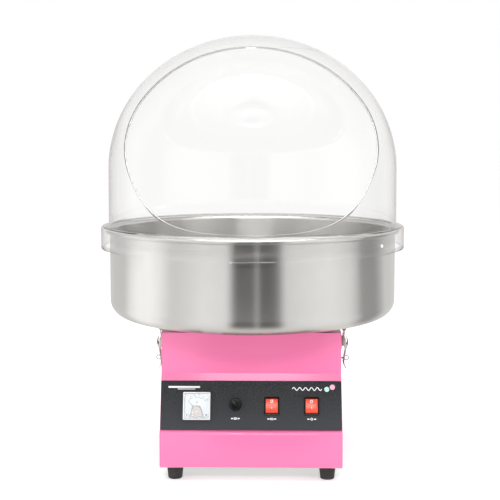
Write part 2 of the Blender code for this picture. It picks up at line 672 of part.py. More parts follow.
def motor_bracket():
    """A channel hung under the deck: its web carries the motor, its side flanges meet the deck."""
    thickness, flange, half_length = 2 * MM, 16 * MM, 40 * MM
    top = DECK_TOP - SHEET - GAP - thickness / 2
    web = BRACKET_WEB_Z + thickness / 2
    side = BRACKET_HALF_WIDTH
    path = [(-side - flange, top), (-side, top), (-side, web), (side, web), (side, top), (side + flange, top)]
    zinc = finish("zinc_sheet", (0.6, 0.6, 0.6), 0.4, 1.0)
    made = extruded("motor_bracket", ribbon(path, thickness), "Y", -half_length, half_length, zinc)
    drill(made, (0, 0, web - 10 * MM), (0, 0, web + 10 * MM), 9 * MM, 20)


def motor_fan():
    blades, hub, half = 8, 11 * MM, 1 * MM
    outline = []
    for blade in range(blades):
        turn = Matrix.Rotation(math.tau * blade / blades, 2)
        corners = [(hub, -half), (FAN_RADIUS, -half), (FAN_RADIUS, half), (hub, half)]
        outline += [tuple(turn @ Vector(corner)) for corner in corners]
    made = extruded("motor_fan", outline, "Z", FAN_BOTTOM, FAN_TOP, black_plastic())
    drill(made, (0, 0, FAN_BOTTOM - 10 * MM), (0, 0, FAN_TOP + 10 * MM), SHAFT_RADIUS + GAP, 20)


def slip_rings(bore):
    """A sleeve on the shaft with two raised rings."""
    sleeve, low, high, width = 10 * MM, 212 * MM, 240 * MM, 7 * MM
    profile = [(bore, low), (sleeve, low)]
    for ring in RING_HEIGHTS:
        profile += [(sleeve, ring), (RING_RADIUS, ring), (RING_RADIUS, ring + width), (sleeve, ring + width)]
    profile += [(sleeve, high), (bore, high)]
    turned("slip_rings", profile, finish("brass", (0.75, 0.55, 0.2), 0.35, 1.0), 24)


def brush_holder():
    """A block on the bracket, with a brush that reaches each slip ring."""
    low = BRACKET_WEB_Z + 2 * MM + GAP
    phenolic = finish("phenolic", (0.12, 0.05, 0.03), 0.6)
    made = block("brush_holder", (19 * MM, -9 * MM, low), (31 * MM, 9 * MM, 241 * MM), phenolic)
    for ring in RING_HEIGHTS:
        near, far = (RING_RADIUS + 0.4 * MM, -2.5 * MM, ring + 1.5 * MM), (20 * MM, 2.5 * MM, ring + 5.5 * MM)
        join(made, block(f"brush_{ring:.3f}", near, far, black_plastic()))


def spinner_head():
    bore = SHAFT_RADIUS + GAP
    floor, top, radius = HEAD_FLOOR, HEAD_TOP, HEAD_RADIUS
    aluminium = cast_aluminium()
    turned("head_base", [
        (bore, floor - 12 * MM), (11 * MM, floor - 12 * MM), (13 * MM, floor - 2 * MM),
        (radius - 4 * MM, floor), (radius, floor + 3 * MM), (radius, floor + 8 * MM),
        (radius - 2 * MM, floor + 8 * MM),
        (radius - 2 * MM, floor + 5 * MM), (radius - 6 * MM, floor + 4 * MM), (bore, floor + 4 * MM),
    ], aluminium)
    seat = floor + 4 * MM + GAP
    nut = extruded("head_nut", circle((0, 0), 9 * MM, 6), "Z", seat, floor + 10 * MM, plated_steel())
    drill(nut, (0, 0, floor), (0, 0, floor + 20 * MM), bore, 20)
    head_band(floor + 8 * MM + GAP, top)
    low, high = floor + 13 * MM, top - 8 * MM
    ring = [(HEATER_INNER, low), (HEATER_OUTER, low), (HEATER_OUTER, high), (HEATER_INNER, high)]
    heater = turned("heater_ring", ring, finish("heater_alloy", (0.25, 0.22, 0.2), 0.5, 1.0))
    low = top + GAP
    cover = turned("head_cover", [
        (17 * MM, low), (radius, low), (radius, low + 2.5 * MM), (30 * MM, low + 5 * MM),
        (22 * MM, low + 10 * MM), (19.5 * MM, low + 10 * MM),
    ], aluminium)
    add_posts(heater, (HEATER_INNER + HEATER_OUTER) / 2, 0, 2.2 * MM, seat, floor + 15 * MM)
    add_posts(cover, 52.5 * MM, math.pi / 3, 1.7 * MM, seat, low + 2 * MM)


def add_posts(target, distance, first_angle, radius, low, high):
    """Three posts that carry a ring, evenly round the axis."""
    for i in range(3):
        angle = first_angle + math.tau * i / 3
        x, y = distance * math.cos(angle), distance * math.sin(angle)
        ends = (x, y, low), (x, y, high)
        join(target, rod(f"{target.name}_post_{i}", *ends, radius, cast_aluminium(), 10))


def head_band(low, high):
    """A thin ring with tall slots, through which the melted sugar is thrown."""
    profile = [(BAND_INNER, low), (BAND_OUTER, low), (BAND_OUTER, high), (BAND_INNER, high)]
    band = turned("head_band", profile, brushed_steel())
    reach, half, margin = 70 * MM, 1.8 * MM, 4 * MM
    for i in range(BAND_SLOTS // 2):
        near, far = (-reach, -half, low + margin), (reach, half, high - margin)
        slot = block(f"slot_cutter_{i}", near, far, brushed_steel())
        slot.rotation_euler = (0, 0, math.tau * (i + 0.25) / BAND_SLOTS)
        cut(band, slot)


# ---------------------------------------------------------------- latches


def latch(side_name, side):
    """A draw latch on one side. Every piece is drawn as (distance out, height) and given a width along Y."""
    steel = plated_steel()
    prefix = f"latch_{side_name}"

    def plate_between(name, points, low, high):
        outline = [(side * distance, height) for distance, height in points]
        return extruded(f"{prefix}_{name}", outline, "Y", low, high, steel)

    def drill_across(target, place, radius):
        x, z = side * place[0], place[1]
        drill(target, (x, -2 * PLATE_HALF, z), (x, 2 * PLATE_HALF, z), radius)

    latch_plate(plate_between, drill_across)
    latch_eye(plate_between)
    lever = latch_lever(plate_between, drill_across)
    near, far = sorted([side * 160 * MM, side * 180 * MM])
    slot = block(prefix + "_slot", (near, -2 * MM, 168.5 * MM), (far, 2 * MM, 182.5 * MM), steel)
    cut(lever, slot)
    x, z = side * LATCH_PIVOT[0], LATCH_PIVOT[1]
    put_origin_at(lever, (x, 0, z))
    rod(prefix + "_pin", (x, -10.1 * MM, z), (x, 10.1 * MM, z), PIN_RADIUS, steel, 12)
    latch_bail(prefix, side, BAIL_FOOT, steel)
    hook = [(181, 260.9), (166, 260.9), (166, 227.1), (172.6, 227.1), (172.6, 231.5)]
    hook = [(distance * MM, height * MM) for distance, height in hook]
    plate_between("catch", ribbon(hook, STRIP), -6 * MM, 6 * MM)


def latch_plate(plate_between, drill_across):
    """The plate on the casing's side, with two ears that hold the lever's pin."""
    wall = BASE_HALF_WIDTH + GAP
    low, high = PLATE_BOTTOM, PLATE_TOP
    plate = [(wall, low), (wall + STRIP, low), (wall + STRIP, high), (wall, high)]
    made = plate_between("plate", plate, -PLATE_HALF, PLATE_HALF)
    root = wall + 0.5 * MM
    ear = [(root, 172 * MM), (157.5 * MM, 172 * MM), (162.5 * MM, 184 * MM), (165.5 * MM, 195 * MM)]
    ear += circle(LATCH_PIVOT, 3.6 * MM, 6, math.radians(-40), math.radians(130))
    ear += [(160 * MM, 217 * MM), (root, 218 * MM)]
    for half in (-1, 1):
        join(made, plate_between(f"ear_{half}", ear, *sorted([half * EAR_IN, half * EAR_OUT])))
    drill_across(made, LATCH_PIVOT, PIN_HOLE_RADIUS)


def latch_eye(plate_between):
    """A flat ring for a padlock, on a neck that passes through the lever's slot."""
    neck = 2 * MM
    ring = circle(EYE_CENTRE, 4.8 * MM, 14, math.radians(-155), math.radians(310))
    root = BASE_HALF_WIDTH + STRIP + 2 * GAP
    outline = [(root, EYE_CENTRE[1] - neck), *ring, (root, EYE_CENTRE[1] + neck)]
    made = plate_between("eye", outline, -1 * MM, 1 * MM)
    cut(made, plate_between("eye_hole", circle(EYE_CENTRE, 3.2 * MM, 16), -5 * MM, 5 * MM))


def latch_lever(plate_between, drill_across):
    """A bent strip that covers the latch, with cheeks that turn on the pin and carry the bail."""
    bends = [
        (174.3, 213), (175.6, 209.5), (176.2, 205), (175.4, 200.5), (173.6, 196.5), (172.2, 191),
        (168.4, 170), (168.1, 167), (169.6, 161.8), (173.4, 155.5),
    ]
    path = [(distance * MM, height * MM) for distance, height in bends]
    lever = plate_between("lever", ribbon(path, STRIP), -CHEEK_OUT, CHEEK_OUT)
    cheek = [(171.6 * MM, 189 * MM), (173.4 * MM, 196.3 * MM)]
    cheek += [(174.6 * MM, 199.6 * MM), (172.8 * MM, 203 * MM)]
    cheek += circle(LATCH_PIVOT, 3.7 * MM, 7, math.radians(-10), math.radians(190))
    cheek += circle(BAIL_FOOT, 2.7 * MM, 5, math.radians(180), math.radians(110))
    for half in (-1, 1):
        join(lever, plate_between(f"cheek_{half}", cheek, *sorted([half * CHEEK_IN, half * CHEEK_OUT])))
    drill_across(lever, LATCH_PIVOT, PIN_HOLE_RADIUS)
    drill_across(lever, BAIL_FOOT, WIRE_HOLE_RADIUS)
    return lever


def latch_bail(prefix, side, foot, steel):
    """A wire loop: its ends turn into the lever's cheeks and its crossbar lies in the bowl's hook."""
    half, bend, end = 11.8 * MM, 2.4 * MM, 8.2 * MM
    rise = Vector((side * (BAIL_TOP[0] - foot[0]), 0, BAIL_TOP[1] - foot[1]))
    up = rise.normalized()
    length = rise.length

    def corner(y_out, low, start):
        """Points round one bend, in (across, along the leg)."""
        return [
            (y_out - bend + bend * math.cos(a), low + bend * math.sin(a))
            for a in (start + math.pi / 2 * i / 3 for i in range(4))
        ]

    right = [(end, 0), *corner(half, bend, -math.pi / 2), *corner(half, length - bend, 0)]
    loop = right + [(-across, along) for across, along in right[::-1]]
    line = bpy.data.curves.new(prefix + "_bail", "CURVE")
    line.dimensions = "3D"
    line.bevel_depth = WIRE_RADIUS
    line.bevel_resolution = 2
    line.use_fill_caps = True
    spline = line.splines.new("POLY")
    spline.points.add(len(loop) - 1)
    for point, (across, along) in zip(spline.points, loop):
        point.co = (*(Vector((0, across, 0)) + up * along), 1)
    line.materials.append(steel)
    made = bpy.data.objects.new(prefix + "_bail", line)
    made.location = (side * foot[0], 0, foot[1])
    bpy.context.scene.collection.objects.link(made)


# ---------------------------------------------------------------- electrical pieces


def power_inlet():
    """A mains inlet: a socket body through the rear cover, a flange behind it, and three pins."""
    x, z = INLET_AT
    black = black_plastic()
    low, high = BASE_BACK - INLET_DEPTH, BASE_BACK + 3 * MM
    made = extruded("power_inlet", rectangle(INLET_AT, *INLET_BODY), "Y", low, high, black)
    flange = rectangle(INLET_AT, *INLET_FLANGE, 5 * MM)
    join(made, extruded("inlet_flange", flange, "Y", BASE_BACK + GAP, high, black))
    socket = rectangle(INLET_AT, *INLET_SOCKET)
    cut(made, extruded("inlet_socket_cutter", socket, "Y", low + 4 * MM, high + 5 * MM, black))
    for across, up in ((-7 * MM, -2 * MM), (0, 2.5 * MM), (7 * MM, -2 * MM)):
        near = (x + across - 1 * MM, low + 2 * MM, z + up - 2 * MM)
        far = (x + across + 1 * MM, high - 5 * MM, z + up + 2 * MM)
        join(made, block(f"inlet_pin_{across:.3f}", near, far, plated_steel()))


def terminal_block():
    """An insulating block on the bottom plate, with a screw well for each wire."""
    low = BASE_BOTTOM + SHEET + GAP
    ivory = finish("ivory_plastic", (0.75, 0.72, 0.62), 0.5)
    made = block("terminal_block", (-120 * MM, 60 * MM, low), (-60 * MM, 78 * MM, low + 16 * MM), ivory)
    wells, first, pitch = 5, -114 * MM, 12 * MM
    for column in range(wells):
        x = first + column * pitch
        drill(made, (x, 69 * MM, low + 10 * MM), (x, 69 * MM, low + 22 * MM), 1.9 * MM, 10)


def main():
    for old in list(bpy.data.objects):
        bpy.data.objects.remove(old)
    front_fascia()
    side_panel("side_panel_left", -1)
    side_panel("side_panel_right", 1)
    rear_cover()
    rear_screws()
    top_deck()
    bottom_plate()
    feet()
    control_panel()
    meter()
    fuse()
    switch("heat", HEAT_AT)
    switch("power", POWER_AT)
    deck_collar()
    bowl()
    dome()
    drive()
    spinner_head()
    latch("left", -1)
    latch("right", 1)
    power_inlet()
    terminal_block()


main()
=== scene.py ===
"""Cotton candy machine: the finished look of every piece, made around the machine's frame.

Metres, +Z up, front towards -Y. The origin is on the floor, under the spinner's axis.
Each operator in the sidebar makes one piece, or one group of like pieces.
"""

import math

import bmesh
import bpy
import numpy as np
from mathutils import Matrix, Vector


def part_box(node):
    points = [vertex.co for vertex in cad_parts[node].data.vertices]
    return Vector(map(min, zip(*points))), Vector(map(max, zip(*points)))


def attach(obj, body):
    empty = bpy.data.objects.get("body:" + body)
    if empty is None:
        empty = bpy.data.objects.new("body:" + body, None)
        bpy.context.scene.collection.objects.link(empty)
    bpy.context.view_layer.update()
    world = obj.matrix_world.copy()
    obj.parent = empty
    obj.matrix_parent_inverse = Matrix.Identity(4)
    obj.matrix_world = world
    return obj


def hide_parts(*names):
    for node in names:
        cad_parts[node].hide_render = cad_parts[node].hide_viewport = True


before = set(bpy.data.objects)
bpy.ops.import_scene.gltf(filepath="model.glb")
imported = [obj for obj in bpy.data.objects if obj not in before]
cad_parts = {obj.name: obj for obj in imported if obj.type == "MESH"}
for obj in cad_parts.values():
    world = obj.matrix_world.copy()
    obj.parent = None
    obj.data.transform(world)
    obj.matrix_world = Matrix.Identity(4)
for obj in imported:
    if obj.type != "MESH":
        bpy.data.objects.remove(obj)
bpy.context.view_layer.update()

bl_info = {
    "name": "Cotton Candy Machine",
    "version": (1, 0, 0),
    "blender": (4, 5, 0),
    "location": "View3D > Sidebar > Candy Machine",
    "description": "Makes the finished pieces of a cotton candy machine around its frame",
    "category": "Add Mesh",
}

MM = 0.001
GAP = 0.3 * MM

# Turned pieces: radii and heights that the frame gives
BOWL_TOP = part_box("bowl")[1].z
BOWL_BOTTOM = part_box("bowl")[0].z
BEAD_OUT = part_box("bowl")[1].x
SKIRT_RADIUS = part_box("dome")[1].x
SKIRT_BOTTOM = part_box("dome")[0].z
DOME_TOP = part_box("dome")[1].z
BEAD_RADIUS = 4.3 * MM
BEAD_CENTRE = (BEAD_OUT - BEAD_RADIUS, BOWL_TOP - BEAD_RADIUS)
FLANGE_TOP = BOWL_TOP + 3.3 * MM
DOME_SPRING = 525 * MM
DOME_RADIUS = SKIRT_RADIUS - 14 * MM
MOUTH_SILL = 426 * MM
MOUTH_BACK = 130 * MM
STUD_ANGLE, STUD_HEIGHT = math.radians(52), 400 * MM

# Casing: outer faces
HALF_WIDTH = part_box("front_fascia")[1].x
DECK_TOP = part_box("top_deck")[1].z
CASING_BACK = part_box("rear_cover")[1].y
CASING_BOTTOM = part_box("bottom_plate")[0].z

# Sloping face: X across, Y up the slope, Z out of the face, about its middle
PANEL_MIDDLE = (0, -160 * MM, 127.5 * MM)
PANEL_TILT = math.atan2(24, 79)
PANEL_LENGTH = math.hypot(24, 79) * MM
PANEL_BASE = 1.8 * MM
PANEL_FACE = 1.5 * MM
METER_AT, METER_HALF = (-92 * MM, -1.5 * MM), 23 * MM
METER_PIVOT_DROP = 7.4 * MM
METER_REST = math.radians(43.7)
DIAL_TOP = 4.5 * MM
FUSE_AT = (-26.5 * MM, 1.5 * MM)
SWITCHES_AT = {"heat": (35 * MM, -1 * MM), "power": (102.5 * MM, -1 * MM)}
ROCKER_RADIUS, ROCKER_HALF_WIDTH = 12.6 * MM, 10.35 * MM
ROCKER_VALLEY, ROCKER_DISH = 5.2 * MM, 0.35 * MM
ROCKER_END = (ROCKER_RADIUS * math.cos(math.radians(30)), ROCKER_RADIUS * math.sin(math.radians(30)))
ROCKER_PIVOT = PANEL_BASE - 4 * MM
ROCKER_REST = math.radians(-9)

# Draw latches: (distance out from the spinner's axis, height)
LATCH_PIVOT = (168.6 * MM, 210.5 * MM)
BAIL_FOOT, BAIL_TOP = (167.4 * MM, 201.1 * MM), (169.6 * MM, 229.3 * MM)
EYE_CENTRE = (174.3 * MM, 174.5 * MM)
STRIP = 1.4 * MM

TURNS = 192


# ------------------------------------------------------------------ settings


class MachineSizes(bpy.types.PropertyGroup):
    """Sizes of the details that can change without moving a neighbour."""

    bowl_wall: bpy.props.FloatProperty(
        name="Bowl wall", description="Thickness of the spun bowl's metal",
        default=1.5 * MM, min=0.5 * MM, max=3 * MM, precision=4, unit="LENGTH", subtype="DISTANCE",
    )
    bowl_corner: bpy.props.FloatProperty(
        name="Bowl corner", description="Outer radius between the bowl's wall and floor",
        default=28 * MM, min=10 * MM, max=60 * MM, precision=4, unit="LENGTH", subtype="DISTANCE",
    )
    dome_wall: bpy.props.FloatProperty(
        name="Dome wall", description="Thickness of the clear dome",
        default=3 * MM, min=1 * MM, max=4 * MM, precision=4, unit="LENGTH", subtype="DISTANCE",
    )
    sheet: bpy.props.FloatProperty(
        name="Sheet", description="Thickness of the casing's painted sheet",
        default=1.5 * MM, min=0.8 * MM, max=2 * MM, precision=4, unit="LENGTH", subtype="DISTANCE",
    )
    head_slots: bpy.props.IntProperty(
        name="Head slots", description="Slots round the spinner head's band",
        default=18, min=6, max=60,
    )


class MachineColours(bpy.types.PropertyGroup):
    """Colours of the machine's main finishes, in linear light."""

    paint: bpy.props.FloatVectorProperty(
        name="Paint", description="Powder coat of the casing",
        default=(0.88, 0.165, 0.385), min=0, max=1, size=3, subtype="COLOR",
    )
    panel: bpy.props.FloatVectorProperty(
        name="Panel", description="Film on the control panel",
        default=(0.004, 0.0035, 0.005), min=0, max=1, size=3, subtype="COLOR",
    )
    # Painted sheen: the paler grey that the panel's film is painted with towards its lower edge
    lower_sheen: bpy.props.FloatVectorProperty(
        name="Lower sheen", description="Painted sheen: the paler grey of the panel's film at its lower edge",
        default=(0.042, 0.045, 0.05), min=0, max=1, size=3, subtype="COLOR",
    )
    rocker: bpy.props.FloatVectorProperty(
        name="Rockers", description="Moulded colour of both switch rockers",
        default=(0.86, 0.085, 0.035), min=0, max=1, size=3, subtype="COLOR",
    )
    steel: bpy.props.FloatVectorProperty(
        name="Steel", description="Colour of the bowl's brushed stainless steel",
        default=(0.66, 0.65, 0.63), min=0, max=1, size=3, subtype="COLOR",
    )
    marks: bpy.props.FloatVectorProperty(
        name="Marks", description="Printed marks on the panel and the rockers",
        default=(0.86, 0.87, 0.87), min=0, max=1, size=3, subtype="COLOR",
    )


# ------------------------------------------------------------------ shader expressions


class Value:
    """A socket of a shader tree. Sums and products with it add Math nodes to the tree."""

    def __init__(self, tree, socket):
        self.tree = tree
        self.socket = socket

    def math(self, operation, *terms):
        inputs = dict(enumerate(terms))
        return self.tree.add("ShaderNodeMath", inputs, operation=operation)

    def __add__(self, other):
        return self.math("ADD", self, other)

    def __radd__(self, other):
        return self.math("ADD", other, self)

    def __sub__(self, other):
        return self.math("SUBTRACT", self, other)

    def __rsub__(self, other):
        return self.math("SUBTRACT", other, self)

    def __mul__(self, other):
        return self.math("MULTIPLY", self, other)

    def __rmul__(self, other):
        return self.math("MULTIPLY", other, self)

    def __truediv__(self, other):
        return self.math("DIVIDE", self, other)

    def __pow__(self, other):
        return self.math("POWER", self, other)

    def clamped(self, low, high):
        return self.math("MINIMUM", self.math("MAXIMUM", self, low), high)


class Tree:
    """A node tree built round one shader, with a single way to add a node of any kind."""

    def __init__(self, tree, shader):
        self.tree = tree
        self.shader = tree.nodes[shader]

    def feed(self, socket, value):
        if isinstance(value, Value):
            self.tree.links.new(value.socket, socket)
        else:
            socket.default_value = value

    def set(self, key, value):
        self.feed(self.shader.inputs[key], value)

    def add(self, kind, inputs=(), output=0, stops=(), **settings):
        """Adds a node of any kind: first its settings, then the values or links of its sockets."""
        node = self.tree.nodes.new(kind)
        for key, value in settings.items():
            setattr(node, key, value)
        for i, (position, tint) in enumerate(stops):
            ramp = node.color_ramp.elements
            stop = ramp[i] if i < 2 else ramp.new(position)
            stop.position, stop.color = position, (*np.broadcast_to(tint, 3), 1)
        for key, value in dict(inputs).items():
            self.feed(node.inputs[key], value)
        return Value(self, node.outputs[output])


class Finish(Tree):
    """A material built round one Principled shader, with the noises and wear that its nodes add."""

    def __init__(self, name, colour, roughness, metallic=0.0, **plain):
        self.material = bpy.data.materials.new(name)
        self.material.use_nodes = True
        super().__init__(self.material.node_tree, "Principled BSDF")
        self.colour = (*colour, 1.0)
        self.set("Base Color", self.colour)
        self.set("Roughness", roughness)
        self.set("Metallic", metallic)
        for key, value in plain.items():
            self.set(key.replace("_", " "), value)
        self.material.diffuse_color = self.colour

    def ramp(self, factor, stops):
        """Colours or greys at stated places of the factor, from 0 to 1."""
        return self.add("ShaderNodeValToRGB", {"Fac": factor}, stops=stops)

    def axes(self, point):
        """The x, y and z of a point."""
        return [self.add("ShaderNodeSeparateXYZ", {0: point}, output=axis) for axis in "XYZ"]

    def place(self, stretch=(1, 1, 1), shift=(0, 0, 0)):
        """Object coordinates, in metres, moved and then stretched."""
        here = self.add("ShaderNodeTexCoord", output="Object")
        return self.add("ShaderNodeMapping", {"Vector": here, "Location": shift, "Scale": stretch})

    def noise(self, scale, detail=3.0, stretch=(1, 1, 1), roughness=0.55):
        inputs = {"Vector": self.place(stretch), "Scale": scale, "Detail": detail, "Roughness": roughness}
        return self.add("ShaderNodeTexNoise", inputs)

    def spots(self, scale):
        return self.add("ShaderNodeTexVoronoi", {"Vector": self.place(), "Scale": scale}, output="Distance")

    def blend(self, factor, first, second):
        """The first colour where the factor is 0, and the second where it is 1."""
        return self.add("ShaderNodeMix", {0: factor, 6: first, 7: second}, output=2, data_type="RGBA")

    def tinted(self, factor, amount):
        """The finish's colour, drawn towards a darker one where the factor is high."""
        dark = (*[c * (1 - amount) for c in self.colour[:3]], 1)
        self.set("Base Color", self.blend(factor, self.colour, dark))

    def bump(self, height, distance, strength=1.0):
        inputs = {"Height": height, "Distance": distance, "Strength": strength}
        self.set("Normal", self.add("ShaderNodeBump", inputs))

    def spread(self, factor, low, high):
        """Roughness that runs from low to high with the factor."""
        self.set("Roughness", low + factor * (high - low))


FINISHES = {}


def finishes():
    """Every finish by its material slot. They are made once and shared by the pieces."""
    if not FINISHES:
        colours = bpy.context.scene.machine_colours
        for make in (
            pink_paint, panel_black, black_plastic, gloss_black_plastic, black_rubber, brushed_steel,
            plated_steel, zinc_sheet, cast_aluminium, dark_casting, motor_steel, heater_alloy, brass,
            phenolic, white_plastic, beige_plastic, dial_card, ivory_plastic, red_rocker, clear_plastic,
            fuse_glass, lens_film, cut_edge, marks_ink, dial_ink, mint_ink, pink_ink,
        ):
            FINISHES[make.__name__] = make(colours)
    return FINISHES


def pink_paint(colours):
    """Powder coat: a soft gloss over orange peel, with fine specks and a slow drift of shade."""
    made = Finish("pink_paint", colours.paint, 0.4, Coat_Weight=0.9, Coat_Roughness=0.16)
    drift = made.noise(6.0, 2.0)
    specks = made.noise(2600.0, 1.0)
    made.tinted((drift * 0.6 + specks * 0.4).clamped(0, 1), 0.07)
    made.spread(made.noise(38.0, 4.0), 0.32, 0.46)
    made.bump(made.noise(620.0, 2.0) + specks * 0.25, 0.00004, 0.6)
    return made


def panel_black(colours):
    """Printed polyester film: a fine stipple that scatters light, and a painted sheen that makes it paler
    towards its lower edge.
    """
    made = Finish("panel_black", colours.panel, 0.42, Specular_IOR_Level=0.2)
    stipple = made.noise(520.0, 3.0)
    wiped = made.noise(22.0, 5.0, (1, 0.35, 0.35))
    *_, height = made.axes(made.place())
    # Painted sheen: the film's colour runs from black at the panel's top to a paler grey at its lower edge
    sheen_and_wear = ((PANEL_MIDDLE[2] + PANEL_LENGTH / 2 - height) / PANEL_LENGTH).clamped(0, 1)
    film = made.blend(sheen_and_wear, (*colours.panel, 1), (*colours.lower_sheen, 1))
    grains = (stipple * 2.2 - 0.85 + wiped * 0.3).clamped(0, 1)
    made.set("Base Color", made.blend(grains, film, (0.042, 0.045, 0.05, 1)))
    made.spread(wiped, 0.34, 0.52)
    made.bump(stipple + made.spots(900.0) * 0.5, 0.00004, 0.7)
    return made


def moulded(name, colour, roughness, grain=1500.0, depth=0.00002, **plain):
    """Moulded plastic: a spark-eroded grain, with slight differences of gloss."""
    made = Finish(name, colour, roughness, **plain)
    grains = made.noise(grain, 3.0)
    made.spread(made.noise(90.0, 3.0), roughness * 0.85, roughness * 1.2)
    made.tinted(grains, 0.14)
    made.bump(grains, depth, 0.7)
    return made


def black_plastic(colours):
    return moulded("black_plastic", (0.02, 0.02, 0.022), 0.42)


def gloss_black_plastic(colours):
    return moulded(
        "gloss_black_plastic", (0.007, 0.007, 0.008), 0.12, 400.0, 0.000004, Specular_IOR_Level=0.3,
    )


def black_rubber(colours):
    """Moulded rubber: matt, with a dusty bloom in patches."""
    made = moulded("black_rubber", (0.018, 0.018, 0.019), 0.72, 900.0, 0.00006)
    bloom = (made.noise(120.0, 5.0) * 1.8 - 0.7).clamped(0, 1)
    made.set("Base Color", made.blend(bloom, made.colour, (0.05, 0.048, 0.045, 1)))
    return made


def brushed_steel(colours):
    """Stainless steel spun on a lathe: hair lines round the axis, smears of handling and polish."""
    made = Finish(
        "brushed_steel", colours.steel, 0.22, 1.0, Anisotropic=0.95, Anisotropic_Rotation=0.25,
    )
    here = made.place()
    x, y, z = made.axes(here)
    radius = (x * x + y * y) ** 0.5
    rings = made.add("ShaderNodeCombineXYZ", {0: radius * 3400, 1: z * 3400, 2: 0.0})
    lines = made.add("ShaderNodeTexNoise", {"Vector": rings, "Scale": 1.0, "Detail": 3.0})
    smears = made.noise(26.0, 5.0, (1, 1, 0.6), 0.62)
    made.tinted((smears * 0.5 + lines * 0.5).clamped(0, 1), 0.16)
    made.set("Roughness", 0.17 + smears * 0.08 + lines * 0.06)
    made.bump(lines, 0.000012, 0.55)
    return made


def plated_steel(colours):
    """Pressed steel, zinc plated: a warm grey with cloudy passivation in lighter and darker patches."""
    made = Finish("plated_steel", (0.62, 0.59, 0.54), 0.28, 1.0)
    cloud = made.noise(160.0, 4.0)
    made.set("Base Color", made.blend(cloud, (0.68, 0.65, 0.60, 1), (0.46, 0.43, 0.38, 1)))
    made.spread(cloud, 0.2, 0.42)
    made.bump(made.noise(900.0, 2.0), 0.00001, 0.6)
    return made


def zinc_sheet(colours):
    """Hot-dipped sheet: flat crystals, each with its own shade and gloss."""
    made = Finish("zinc_sheet", (0.55, 0.56, 0.57), 0.4, 1.0)
    crystals = made.add("ShaderNodeTexVoronoi", {"Vector": made.place(), "Scale": 110.0}, output="Color")
    shade = made.add("ShaderNodeSeparateColor", {0: crystals})
    made.tinted(shade, 0.22)
    made.spread(shade, 0.3, 0.5)
    made.bump(made.noise(700.0, 2.0), 0.00001, 0.5)
    return made


def cast_aluminium(colours):
    """Turned aluminium casting: tool rings and small pores."""
    made = Finish("cast_aluminium", (0.74, 0.74, 0.75), 0.34, 1.0, Anisotropic=0.4, Anisotropic_Rotation=0.25)
    here = made.place()
    x, y, z = made.axes(here)
    radius = (x * x + y * y) ** 0.5
    rings = ((radius + z) * 9000).math("SINE", (radius + z) * 9000)
    pores = made.noise(700.0, 3.0)
    made.tinted(pores, 0.12)
    made.spread(pores, 0.26, 0.42)
    made.bump(rings * 0.5 + pores, 0.00001, 0.6)
    return made


def dark_casting(colours):
    return moulded("dark_casting", (0.03, 0.028, 0.032), 0.5, 700.0, 0.00006)


def motor_steel(colours):
    made = Finish("motor_steel", (0.28, 0.28, 0.30), 0.45, 1.0)
    cloud = made.noise(60.0, 4.0)
    made.tinted(cloud, 0.3)
    made.spread(cloud, 0.35, 0.6)
    return made


def heater_alloy(colours):
    """Resistance alloy, blued and browned by heat."""
    made = Finish("heater_alloy", (0.22, 0.19, 0.17), 0.5, 1.0)
    heat = made.noise(45.0, 3.0)
    made.set("Base Color", made.blend(heat, (0.26, 0.20, 0.14, 1), (0.14, 0.15, 0.22, 1)))
    made.spread(heat, 0.4, 0.62)
    return made


def brass(colours):
    made = Finish("brass", (0.76, 0.55, 0.22), 0.3, 1.0)
    sheen_and_wear = made.noise(300.0, 3.0)
    made.tinted(sheen_and_wear, 0.25)
    made.spread(sheen_and_wear, 0.22, 0.42)
    return made


def phenolic(colours):
    return moulded("phenolic", (0.10, 0.045, 0.03), 0.55, 800.0)


def white_plastic(colours):
    return moulded("white_plastic", (0.80, 0.82, 0.82), 0.32, 1100.0, 0.000008)


def beige_plastic(colours):
    return moulded("beige_plastic", (0.60, 0.55, 0.53), 0.3, 1100.0, 0.000008)


def dial_card(colours):
    """Printed card behind the lens: cool white, with the faintest tooth of paper."""
    made = Finish("dial_card", (0.80, 0.85, 0.88), 0.6)
    tooth = made.noise(2200.0, 2.0)
    made.tinted(tooth, 0.05)
    made.bump(tooth, 0.000006, 0.5)
    return made


def ivory_plastic(colours):
    return moulded("ivory_plastic", (0.72, 0.68, 0.57), 0.5)


def red_rocker(colours):
    """Translucent red-orange plastic: light enters it a little, so its edges glow."""
    return moulded(
        "red_rocker", colours.rocker, 0.24, 500.0, 0.000006,
        Subsurface_Weight=0.25, Subsurface_Radius=(0.004, 0.0012, 0.0006), Subsurface_Scale=0.5,
    )


def clear_plastic(colours):
    """Clear acrylic."""
    return Finish("clear_plastic", (0.97, 0.97, 0.965), 0.0, IOR=1.35, Transmission_Weight=1.0)


def lens_film(colours):
    """Thin clear window: it lets nearly all light through and keeps a sharp gloss."""
    return Finish("lens_film", (0.9, 0.92, 0.94), 0.05, Alpha=0.10)


def cut_edge(colours):
    """The sawn and scraped edge of clear acrylic, frosted white."""
    made = Finish("cut_edge", (0.95, 0.95, 0.95), 0.45)
    scraped = made.noise(420.0, 3.0)
    made.tinted(scraped, 0.1)
    made.spread(scraped, 0.35, 0.55)
    made.bump(scraped, 0.00001, 0.5)
    return made


def fuse_glass(colours):
    """Ceramic fuse body, slightly speckled."""
    return moulded("fuse_glass", (0.72, 0.70, 0.64), 0.25)


def ink(name, colour):
    """Screen print: matt, with a slightly uneven film."""
    made = Finish(name, colour, 0.55)
    uneven = made.noise(1600.0, 2.0)
    made.tinted(uneven, 0.08)
    made.bump(uneven, 0.000004, 0.5)
    return made


def marks_ink(colours):
    return ink("marks_ink", colours.marks)


def dial_ink(colours):
    return ink("dial_ink", (0.03, 0.04, 0.05))


def mint_ink(colours):
    return ink("mint_ink", (0.50, 0.80, 0.74))


def pink_ink(colours):
    return ink("pink_ink", (0.86, 0.42, 0.56))


# ------------------------------------------------------------------ outlines


